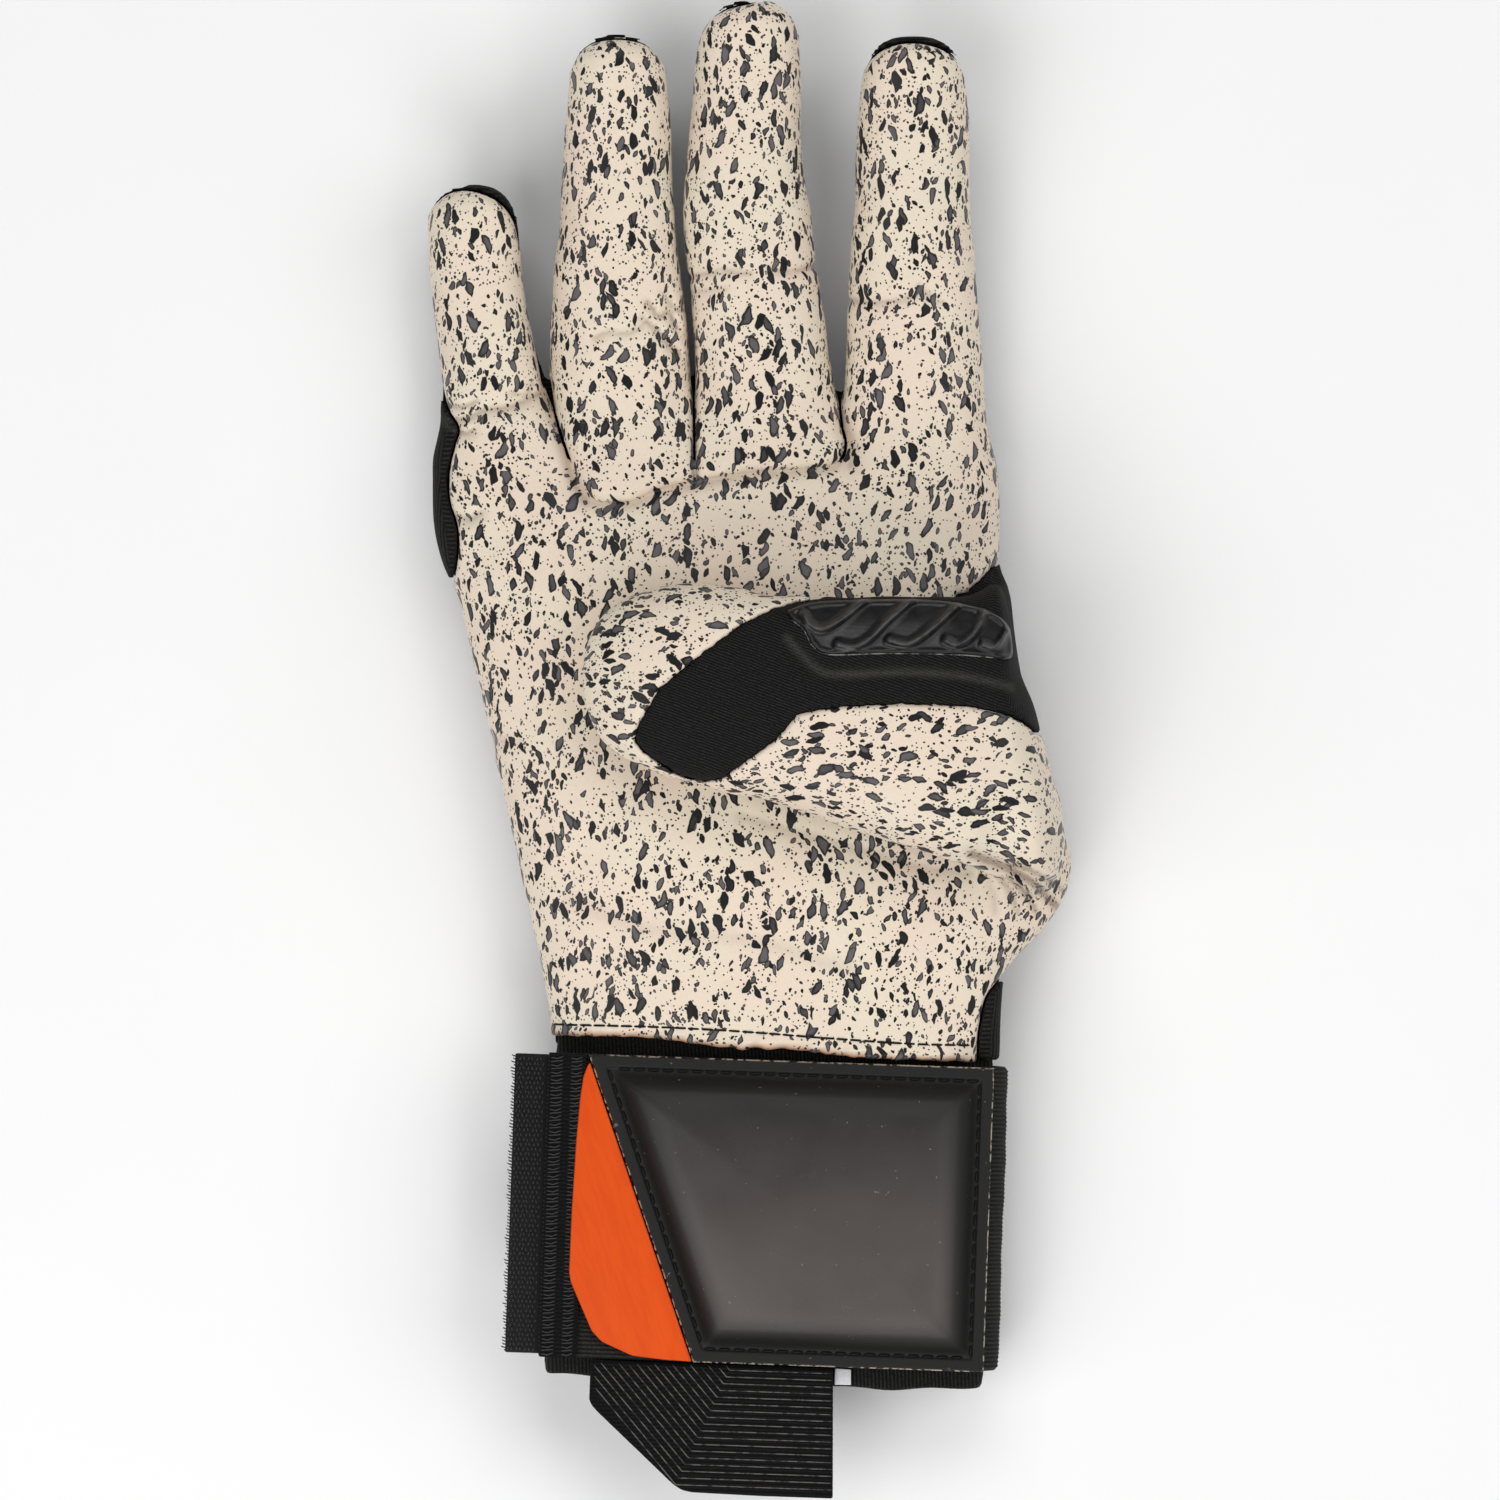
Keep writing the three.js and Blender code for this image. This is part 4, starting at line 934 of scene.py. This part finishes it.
def tube_mesh(lines, radius, sides=6, flat=1.0):
    """Round-ended threads along lines of 3-D points, as points and faces."""
    points, faces = [], []
    for line in lines:
        line = np.asarray(line, float)
        ahead = np.gradient(line, axis=0)
        ahead /= np.linalg.norm(ahead, axis=1)[:, None]
        side = np.cross(ahead, (0, 0, 1.0))
        side /= np.maximum(np.linalg.norm(side, axis=1), 1e-6)[:, None]
        up = np.cross(side, ahead)
        first = len(points)
        sizes = np.ones(len(line)) * radius
        sizes[0] = sizes[-1] = 0.45 * radius
        for p, s1, u1, r in zip(line, side, up, sizes):
            for i in range(sides):
                a = 2 * math.pi * i / sides
                points.append(p + r * (math.cos(a) * s1 + flat * math.sin(a) * u1))
        faces += [tuple(first + i for i in f) for f in ring_faces(len(line), sides)]
        faces.append(tuple(first + i for i in reversed(range(sides))))
        faces.append(tuple(first + (len(line) - 1) * sides + i for i in range(sides)))
    return points, faces


def threads(name, lines, radius, slot, material, place=WRIST, sides=6, flat=1.0):
    points, faces = tube_mesh(lines, radius, sides, flat)
    return finished(mesh_object(name, points, faces, place=place), slot, material)


def even_points(line, pitch):
    """Places at an even pitch along a line of points."""
    line = np.asarray(line, float)
    runs = np.concatenate([[0], np.cumsum(np.linalg.norm(np.diff(line, axis=0), axis=1))])
    at = np.arange(0, runs[-1], pitch)
    return np.column_stack([np.interp(at, runs, line[:, k]) for k in range(line.shape[1])])


def mended(obj, edge=0.0, close=False):
    """Closes a mesh's open ends, turns its faces outwards and rounds its edges."""
    mesh = bmesh.new()
    mesh.from_mesh(obj.data)
    if close:
        bmesh.ops.holes_fill(mesh, edges=[e for e in mesh.edges if e.is_boundary], sides=0)
    bmesh.ops.recalc_face_normals(mesh, faces=mesh.faces)
    if edge:
        edges = list(mesh.edges)
        bmesh.ops.bevel(mesh, geom=edges, offset=edge * MM, segments=3, affect="EDGES", profile=0.5)
    mesh.to_mesh(obj.data)
    mesh.free()
    return obj


def slab(name, outline, low, high, edge, slot, material, *nodes):
    """A flat piece over an outline, its edges rounded."""
    count = len(outline)
    points = [(x, y, low) for x, y in outline] + [(x, y, high) for x, y in outline]
    faces = ring_faces(2, count) + [tuple(reversed(range(count))), tuple(range(count, 2 * count))]
    return finished(mended(mesh_object(name, points, faces, place=WRIST), edge), slot, material, *nodes)


def rectangle(left, right, low, high):
    return [(left, low), (right, low), (right, high), (left, high)]


def ribbed_cloth(name, axis, pitch, light, dark, mottled=0.0):
    """Woven or knitted elastic with ribs across one axis of the wrist."""
    s = Shader(name)
    x, y, z = s.split(s.mm)
    across, along = (y, x) if axis == "y" else (x, y)
    run = s.math("ADD", across, s.times(along, 0.035))
    wave = s.range(s.math("SINE", s.times(run, 2 * math.pi / pitch)), -1, 1)
    fuzz = s.noise(s.mm, 2.8, 3.0, 0.7)
    thread = s.times(wave, s.range(fuzz, 0.3, 0.65))
    if mottled:
        patches = s.range(s.noise(s.mm, 6.0, 1.0), 0.55, 0.7)
        thread = s.math("ADD", thread, s.times(patches, mottled))
    s.set(
        Base_Color=s.mix(thread, tone(*dark), tone(*light)),
        Roughness=0.85,
        Normal=s.bump(s.times(fuzz, 0.4, wave), 0.00015),
        Specular_IOR_Level=0.15,
        Sheen_Weight=0.06,
        Sheen_Roughness=0.5,
        Sheen_Tint=(0.35, 0.35, 0.36, 1),
    )
    return s.material


def plain(name, color, rough):
    s = Shader(name)
    speck = s.noise(s.mm, 1.5, 3.0, 0.6)
    s.set(
        Base_Color=s.mix(speck, tone(*[0.85 * c for c in color]), tone(*color)),
        Roughness=rough,
        Specular_IOR_Level=0.25,
        Normal=s.bump(speck, 0.00003),
    )
    return s.material


CUFF_KNIT = ribbed_cloth("cuff_knit", "x", 0.75, (48, 48, 46), (12, 12, 11))
STRAP_WEAVE = ribbed_cloth("strap_weave", "y", 0.85, (56, 56, 53), (18, 18, 17), mottled=0.25)
BINDING_WEAVE = ribbed_cloth("binding_weave", "y", 0.8, (26, 26, 27), (6, 6, 7))
THREAD = plain("grey_thread", (66, 65, 67), 0.7)
BLACK_THREAD = plain("black_thread", (12, 12, 12), 0.6)
HOOK_NYLON = plain("hook_nylon", (16, 16, 17), 0.6)
LABEL = plain("white_satin", (232, 232, 238), 0.5)

# Cuff: a knitted tube with a hem, open at both ends
SIDES = 120
CUFF_MIDDLE = 2.56 + 8.6
CUFF_INSET, CUFF_WALL = 0.15, 1.9
cuff_stations = [8.5, 6, 2, -4, -9, -20, -35, -50, -60, -64, -66, -66.6, -66.8]
cuff_table = [[-66.8, 44, 17.2], [-40, 44.5, 17.2], [-8, 44.3, 17.2], [0, 43.9, 17.1], [9, 41.6, 16.1]]


def cuff_ring(v, inset):
    half, thick = curve(cuff_table, [v])[0]
    half, high = half - inset, thick / 2 - inset
    ring = []
    for i in range(SIDES):
        a = 2 * math.pi * (i + 0.5) / SIDES
        c, t = math.cos(a), math.sin(a)
        u = half * math.copysign(abs(c) ** (2 / 3), c)
        wave = 0.35 * math.sin(u * 0.16 + 1) + 0.2 * math.sin(u * 0.43) if v < -60 else 0
        z = CUFF_MIDDLE + high * math.copysign(abs(t) ** (2 / 3), t)
        ring.append((u, v + wave, z))
    return ring


insets = [CUFF_INSET] * 9 + [0.0, 0.25, 0.6, 1.1]
rings = [cuff_ring(v, inset) for v, inset in zip(cuff_stations, insets)]
rings += [cuff_ring(v, CUFF_WALL) for v in (-66.4, -60, -30, -2, 4)] + [cuff_ring(8.5, 2.0)]
faces = ring_faces(len(rings), SIDES, loop=True)
cuff = mesh_object("cuff_tube", [p for r in rings for p in r], faces, place=WRIST)
finished(cuff, "elastic", CUFF_KNIT, "cuff")

# Strap: under the cuff, round its right side and back over the top, ribbed all along
outer = STRAP_TOP / 2
turn_u = STRAP_RIGHT - outer
under = STRAP_TOP - STRAP_THICK


def strap_turn(radius, start):
    """The strap's way round the cuff's side, from an angle to the opposite one."""
    angles = np.linspace(start, -start, 18)
    return [(turn_u + radius * math.cos(a), outer + radius * math.sin(a)) for a in angles]


loop = [(STRAP_LEFT + 4, 0.0)] + [(u, 0.0) for u in np.linspace(-36, turn_u, 12)]
loop += strap_turn(outer, -1.45)
loop += [(u, STRAP_TOP) for u in np.linspace(turn_u, -40, 12)] + [(STRAP_LEFT, STRAP_TOP)]
loop += [(STRAP_LEFT, under)] + [(u, under) for u in np.linspace(-40, turn_u, 12)]
loop += strap_turn(outer - STRAP_THICK, 1.45)
loop += [(u, STRAP_THICK) for u in np.linspace(turn_u, -36, 12)] + [(STRAP_LEFT + 4, STRAP_THICK)]
loop = np.array(loop)
ahead = np.roll(loop, -1, axis=0) - np.roll(loop, 1, axis=0)
normal = np.column_stack([ahead[:, 1], -ahead[:, 0]])
normal /= np.linalg.norm(normal, axis=1)[:, None]
STRAP_RIB = 0.09
stations = np.linspace(STRAP_HIGH, STRAP_LOW, 289)
points = []
for k, v in enumerate(stations):
    rib = STRAP_RIB * math.cos(2 * math.pi * k / 4) - STRAP_RIB
    ends = min(k, len(stations) - 1 - k)
    rib -= 0.7 * max(0, 1 - ends / 4) ** 2
    wobble = 0.25 * math.sin(v * 0.21) + 0.12 * math.sin(v * 0.83)
    for (u, z), (nu, nz) in zip(loop, normal):
        shift = wobble if u > turn_u else 0
        points.append((u + rib * nu + 0.4 * shift, v, max(z + rib * nz, 0.0)))
strap = mesh_object("strap_band", points, ring_faces(len(stations), len(loop)), place=WRIST)
finished(mended(strap, close=True), "strap_elastic", STRAP_WEAVE, "wrist_strap")

# Hook tape: a woven base with rows of small bent hooks, and a prickly outer edge
tape_right = STRAP_LEFT - GAP
TAPE_WIDTH = 6.2
tape_left = tape_right - TAPE_WIDTH
tape_high = STRAP_TOP - 0.6
tape = rectangle(tape_left, tape_right + 0.6, STRAP_LOW + 0.6, STRAP_HIGH - 0.4)
slab("hook_tape_base", tape, under, tape_high, 0.35, "hook_nylon", HOOK_NYLON, "hook_tape")
hooks = []
for row, v in enumerate(np.arange(STRAP_LOW + 1.2, STRAP_HIGH - 0.8, 0.95)):
    for column in range(7):
        u = tape_left + 0.5 + 0.86 * column + (0.43 if row % 2 else 0)
        if u > tape_right - 0.2:
            continue
        jitter = rng.normal(0, 0.06, 3)
        base = np.array([u + jitter[0], v + jitter[1], tape_high - 0.1])
        lean = -1 if column % 2 else 1
        bent = [(0, 0, 0), (0, 0.05, 0.45), (0.1 * lean, 0.3, 0.72), (0.16 * lean, 0.55, 0.55)]
        hooks.append(base + np.array(bent))
for v in np.arange(STRAP_LOW + 0.9, STRAP_HIGH - 0.6, 0.62):
    reach = rng.uniform(0.35, 0.95)
    base = np.array([tape_left + 0.25, v, tape_high - 0.7])
    bent = [(0, 0, 0), (-0.4 * reach, 0.02, 0.3), (-0.9 * reach, 0.12, 0.35), (-1.2 * reach, 0.3, 0.1)]
    hooks.append(base + np.array(bent))
threads("hook_tape_hooks", hooks, 0.15, "hook_nylon", THREAD, sides=5)

# Binding: a woven tape with two columns of zigzag stitches and a smooth channel between
tape = rectangle(BINDING_LEFT, BINDING_RIGHT, STRAP_LOW, STRAP_HIGH)
top = LAYER + 1.0
slab("binding_tape", tape, LAYER, top, 0.3, "woven_trim", BINDING_WEAVE, "edge_binding")
zigzag = []
for left, right in ((BINDING_LEFT + 0.3, BINDING_LEFT + 2.8), (BINDING_LEFT + 4.3, BINDING_LEFT + 6.6)):
    for k, v in enumerate(np.arange(STRAP_LOW + 0.6, STRAP_HIGH - 0.6, 0.74)):
        middle = ((left + right) / 2, v + (0.14 if k % 2 else -0.14), top + 0.22)
        zigzag.append([(left, v, top - 0.05), (left + 0.3, v + 0.04, top + 0.12), middle,
                       (right - 0.3, v + 0.26, top + 0.12), (right, v + 0.3, top - 0.05)])
threads("binding_stitches", zigzag, 0.15, "woven_trim", THREAD, sides=5)

# Orange panel in the slant beside the pad


def slant(v):
    """The pad's left edge, less a small gap."""
    slope = (PAD_OUTLINE[1][0] - PAD_OUTLINE[0][0]) / (STRAP_HIGH - STRAP_LOW)
    return PAD_OUTLINE[0][0] + (STRAP_HIGH - v) * slope - 0.3


ORANGE_OUTLINE = [(slant(-3.7), -3.7), (-37.3, -4.2), (-38.1, -6.6), (-38.6, -11), (-39.1, -20), (-39.5, -34),
                  (-39.6, -45.6), (-39.2, -47.6), (-34.7, -57.2), (-32.6, -59.3), (-26.5, -61.9),
                  (-20, -62.5), (slant(-62.7), -62.7)]


def orange_coating():
    s = Shader("orange_coating")
    x, y, z = s.split(s.mm)
    across = s.math("ADD", s.times(x, 0.8), s.times(y, 0.25))
    streak = s.noise(s.join(across, s.times(y, 0.12), z), 0.6, 3.0, 0.6)
    s.set(
        Base_Color=s.mix(s.range(streak, 0.35, 0.7), tone(229, 82, 6), tone(222, 75, 4)),
        Roughness=0.55,
        Specular_IOR_Level=0.2,
        Normal=s.bump(s.math("ADD", streak, s.times(s.noise(s.mm, 3.0), 0.3)), 0.00008),
    )
    return s.material


orange = orange_coating()
slab("orange_panel", ORANGE_OUTLINE, LAYER + 0.1, LAYER + 1.45, 0.35, "orange_panel", orange, "orange_trim")

# Pad: a stitched flat border, a pressed line, and a crowned cushion with a wide soft shoulder
# Rows: distance from the edge, height
PAD_SHAPE = [
    [0, 0.95], [0.35, 1.35], [2.1, 1.4], [2.75, 0.95], [3.3, 1.2], [3.9, 1.7], [4.8, 2.8], [5.8, 3.9],
    [7, 4.8], [8.6, 5.3], [11, 5.8], [16, 6.4], [24, 6.9], [40, 7.1],
]
# Where along the glove the pad's skin turns from darkest to lightest, in the shared frame: a painted
# reflection, darker at the top end and lighter towards the low end
PAD_PAINTED_REFLECTION = (-60, -112)


def pad_material():
    s = Shader("pad_skin")
    cloud = s.noise(s.mm, 0.06, 3.0, 0.55)
    fine_grain = s.noise(s.mm, 1.8, 3.0, 0.6)
    marks = s.range(s.noise(s.mm, 0.5, 4.0, 0.7), 0.62, 0.72)
    # The flat border has its own darker tone. Past it, the dark runs on up the shoulder as painted shade and
    # fades into the cushion's tone
    inner = s.range(s.attribute("edge"), 4.5, 10.5)
    # Painted reflection: the cushion's skin is darker at the top end and lighter towards the low end
    down = s.range(s.split(s.mm)[1], *PAD_PAINTED_REFLECTION)
    dull = s.mix(down, tone(32, 30, 30), tone(80, 74, 72))
    bright = s.mix(down, tone(42, 39, 39), tone(92, 86, 83))
    skin = s.mix(inner, tone(17, 16, 15), s.mix(cloud, dull, bright))
    specks = s.range(s.noise(s.mm, 0.9, 2.0, 0.5), 0.73, 0.76)
    skin = s.mix(s.times(specks, 0.35), skin, tone(150, 148, 146))
    edge = s.range(s.attribute("edge"), 0.1, 0.34, 1.0, 0.0)
    frayed = s.times(edge, s.range(s.noise(s.mm, 0.8, 2.0), 0.44, 0.56))
    height = s.math("ADD", s.times(fine_grain, 0.35), s.times(marks, -0.5))
    s.set(
        Base_Color=s.mix(frayed, skin, tone(180, 168, 150)),
        Roughness=s.blend(inner, 0.6, s.range(cloud, 0.3, 0.7, 0.36, 0.46)),
        Specular_IOR_Level=0.35,
        Normal=s.bump(height, 0.00006),
    )
    return s.material


def side_distance(u, v):
    """Distance inwards from each side of the pad's outline, with rounded inner corners."""
    best = None
    for (ax, ay), (bx, by) in zip(PAD_OUTLINE, PAD_OUTLINE[1:] + PAD_OUTLINE[:1]):
        length = math.hypot(bx - ax, by - ay)
        d = ((bx - ax) * (v - ay) - (by - ay) * (u - ax)) / length
        best = d if best is None else smooth_min(best, d, 0.05 + 0.6 * np.clip(np.minimum(best, d) / 3, 0, 3))
    return best


def eased(count):
    """Shares from 0 to 1, closer together near both ends."""
    t = np.linspace(0, 1, count)
    return 0.7 * (t - np.sin(2 * math.pi * t) / (2 * math.pi)) + 0.3 * t


s_shares, t_shares = np.meshgrid(eased(190), eased(150), indexing="ij")
(ax, ay), (bx, by), (cx, cy), (dx, dy) = PAD_OUTLINE
u = (1 - s_shares) * ((1 - t_shares) * ax + t_shares * bx) + s_shares * ((1 - t_shares) * dx + t_shares * cx)
v = (1 - s_shares) * ((1 - t_shares) * ay + t_shares * by) + s_shares * ((1 - t_shares) * dy + t_shares * cy)
inward = np.maximum(side_distance(u, v), 0)
height = curve(PAD_SHAPE, inward.ravel())[:, 0].reshape(inward.shape)
sag = 0.5 * np.exp(-(((u - 6) / 20) ** 2 + ((v + 30) / 15) ** 2))
sag = sag + 0.12 * np.sin(u * 0.3) * np.sin(v * 0.27 + 1)
height = height - sag * ramp(inward, 6, 14)
top = np.stack([u, v, LAYER + height], -1).reshape(-1, 3)
rows_n, cols_n = s_shares.shape
index = np.arange(rows_n * cols_n).reshape(rows_n, cols_n)
quads = [
    (index[i, j], index[i, j + 1], index[i + 1, j + 1], index[i + 1, j])
    for i in range(rows_n - 1)
    for j in range(cols_n - 1)
]
rim = list(index[:, 0]) + list(index[-1, 1:]) + list(index[-2::-1, -1]) + list(index[0, -2:0:-1])
skirt = [(top[i][0], top[i][1], LAYER) for i in rim]
first = len(top)
quads += [(rim[k], first + k, first + (k + 1) % len(rim), rim[(k + 1) % len(rim)]) for k in range(len(rim))]
quads.append(tuple(first + k for k in range(len(rim))))
pad = mended(mesh_object("strap_cushion", list(map(tuple, top)) + skirt, quads, place=WRIST))
attribute(pad, "edge", np.concatenate([inward.ravel(), np.zeros(len(skirt))]))
finished(pad, "pad_skin", pad_material(), "strap_pad")


def inset_corner(i, distance):
    """A corner of the pad's outline moved in from both its sides."""
    sides = []
    for k in (i - 1, i):
        (x0, y0), (x1, y1) = PAD_OUTLINE[k % 4], PAD_OUTLINE[(k + 1) % 4]
        length = math.hypot(x1 - x0, y1 - y0)
        nx, ny = -(y1 - y0) / length, (x1 - x0) / length
        sides.append((nx, ny, nx * x0 + ny * y0 + distance))
    (a, b, e), (c, d, f) = sides
    det = a * d - b * c
    return ((e * d - b * f) / det, (a * f - e * c) / det)


PAD_STITCH, HEM_STITCH = 2.9, 2.7
STITCH_HIGH = LAYER + 1.02
STITCH_SHAPE = ((0.25, -0.05), (0.6, 0.2), (1.4, 0.24), (2.2, 0.2), (2.55, -0.05))
corners = [inset_corner(i, 2.75) for i in range(4)]
dashes = []
for start, end in zip(corners, corners[1:] + corners[:1]):
    way = (np.array(end) - start) / np.linalg.norm(np.array(end) - start)
    for p in even_points([start, end], PAD_STITCH)[:-1]:
        dashes.append([(*(p + way * t), STITCH_HIGH + h) for t, h in STITCH_SHAPE])
threads("pad_stitches", dashes, 0.22, "pad_skin", BLACK_THREAD, flat=0.8)

# Pull tab: a woven tongue with chevron ridges
TAB_RIGHT, TAB_LEFT = 13.8, -34.7
TAB_LENGTH = 26
TAB_HIGH, TAB_LOW = STRAP_LOW - GAP, STRAP_LOW - GAP - TAB_LENGTH
TAB_LEAN = 0.85
TAB_OUTLINE = [(TAB_LEFT, TAB_HIGH), (TAB_LEFT, -71.2), (-34, -72.4), (-32.8, -73.6), (-17.4, -87.4),
               (-15.6, -88.5), (-13.6, -88.9), (0, TAB_LOW), (TAB_RIGHT + TAB_LEAN, TAB_LOW),
               (TAB_RIGHT, TAB_HIGH)]
low, high = STRAP_TOP - 1.8, STRAP_TOP - 0.15
slab("tab_tongue", TAB_OUTLINE, low, high, 0.45, "woven_trim", BINDING_WEAVE, "pull_tab")
RIDGES = 18
slant_way = np.array([-0.665, 0.747])
chevrons = []
for k in range(RIDGES):
    share = (k + 0.55) / RIDGES
    v = TAB_HIGH - 0.3 - share * 24.6
    knee = np.array([-6.5 - 10.6 * share, v])
    reach = min((TAB_HIGH - 0.15 - v) / 0.747, (knee[0] - TAB_LEFT - 0.5) / 0.665)
    line = np.vstack([even_points([(TAB_RIGHT - 0.3 + TAB_LEAN * share, v), tuple(knee)], 1.2), [knee],
                      even_points([tuple(knee), tuple(knee + slant_way * max(reach, 0.5))], 1.2)[1:]])
    chevrons.append(np.column_stack([line, np.full(len(line), STRAP_TOP - 0.13)]))


# A mottled two-tone line: worn grey on the tab's woven ridges, a painted highlight on the grip panel's lip
def wear_and_highlight_line(name, low, high, dark, light):
    s = Shader(name)
    wear_and_highlight = s.range(s.noise(s.mm, 0.55, 3.0, 0.7), low, high)
    s.set(Base_Color=s.mix(wear_and_highlight, tone(*dark), tone(*light)), Roughness=0.75)
    return s.material


WOVEN_THREAD = wear_and_highlight_line("woven_thread", 0.38, 0.58, (30, 30, 30), (104, 102, 98))
# The lip's grey is a painted highlight; the chevrons' grey is worn thread
LIP_HIGHLIGHT = wear_and_highlight_line("painted_lip_highlight", 0.4, 0.6, (24, 24, 24), (128, 126, 122))
threads("tab_chevrons", chevrons, 0.12, "woven_trim", WOVEN_THREAD, sides=5, flat=0.8)

LABEL_OUTLINE = [(14.2, -66.5), (17.5, -66.4), (17.4, -63.3), (14.2, -63.2)]
slab("label_tag", LABEL_OUTLINE, 20.1, 20.6, 0.12, "label_satin", LABEL, "care_label")


def top_at(points):
    """Height of the glove's upper surface over places in plan."""
    heights = []
    for px, py in points:
        column = np.column_stack([np.full(200, px), np.full(200, py), np.linspace(50, 10, 200)])
        values = sample(grid, whole, column)
        heights.append(column[np.argmax(values < 0), 2])
    return np.array(heights)


# Stitches along the wrist's hem, and a grey line along the grip panel's lip, a painted highlight
hem = []
places = even_points(rounded_line(HEM_LINE, 8), HEM_STITCH)
for p, q in zip(places[:-1], places[1:]):
    part = np.array([p + (q - p) * t for t in (0.02, 0.15, 0.8, 0.96)])
    hem.append(np.column_stack([part, top_at(part) + (-0.05, 0.25, 0.25, -0.05)]))
# A grey line of painted highlight along the grip panel's lip
lip_line = rounded_line(RIB_PANEL[:9:-1] + [[51, 78.1]], 10)
lip_line = np.column_stack([lip_line, top_at(lip_line) + 0.3])
threads("grip_lip_highlight", [lip_line], 0.16, "grip_rubber", LIP_HIGHLIGHT, place=HAND)
threads("hem_stitches", hem, 0.22, "latex", BLACK_THREAD, place=HAND)

# Floor, light and camera

world = bpy.data.worlds.new("studio")
bpy.context.scene.world = world
world.use_nodes = True
nodes, links = world.node_tree.nodes, world.node_tree.links
direction = nodes.new("ShaderNodeSeparateXYZ")
links.new(nodes.new("ShaderNodeTexCoord").outputs["Generated"], direction.inputs[0])
overhead = nodes.new("ShaderNodeMapRange")
for index, value in ((1, 0.45), (2, 0.95), (3, 1.05), (4, 0.24)):
    overhead.inputs[index].default_value = value
links.new(direction.outputs[2], overhead.inputs[0])
links.new(overhead.outputs[0], nodes["Background"].inputs[1])

FLOOR_PLACE = Matrix.Scale(MM, 4) @ Matrix.Translation((0, 0, -0.05))
FLOOR_HALF = 3000
corners = [(x, y, 0) for x, y in rectangle(-FLOOR_HALF, FLOOR_HALF, -FLOOR_HALF, FLOOR_HALF)]
floor = mesh_object("floor", corners, [(0, 1, 2, 3)], place=FLOOR_PLACE, smooth=False)
s = Shader("paper")
s.set(Base_Color=s.mix(s.noise(s.mm, 0.02), (0.97, 0.97, 0.97), (0.99, 0.99, 0.99)), Roughness=0.9)
floor.data.materials.append(s.material)


def area_light(name, place, size, power):
    light = bpy.data.lights.new(name, "AREA")
    light.shape = "RECTANGLE"
    light.size, light.size_y = size
    light.energy = power
    obj = bpy.data.objects.new(name, light)
    obj.location = place
    obj.rotation_euler = Vector(place).to_track_quat("Z", "Y").to_euler()
    obj.visible_camera = False
    bpy.context.scene.collection.objects.link(obj)


area_light("key", (-0.75, -0.45, 1.05), (1.2, 1.2), 8.2)
area_light("fill", (0.95, 0.1, 1.05), (1.2, 1.2), 7.6)
area_light("front", (-0.1, -0.95, 0.85), (1.2, 0.5), 6.5)
area_light("top", (0.0, 0.95, 1.1), (1.2, 0.6), 6.5)

camera = bpy.data.cameras.new("camera")
camera.lens = 300
camera.sensor_width = 36
view = bpy.data.objects.new("camera", camera)
AIM_Y, CAMERA_HEIGHT = 60, 2.52
view.location = (ORIGIN.x * MM, (ORIGIN.y + AIM_Y) * MM, CAMERA_HEIGHT)
bpy.context.scene.collection.objects.link(view)
bpy.context.scene.camera = view
bpy.context.scene.view_settings.view_transform = "Standard"
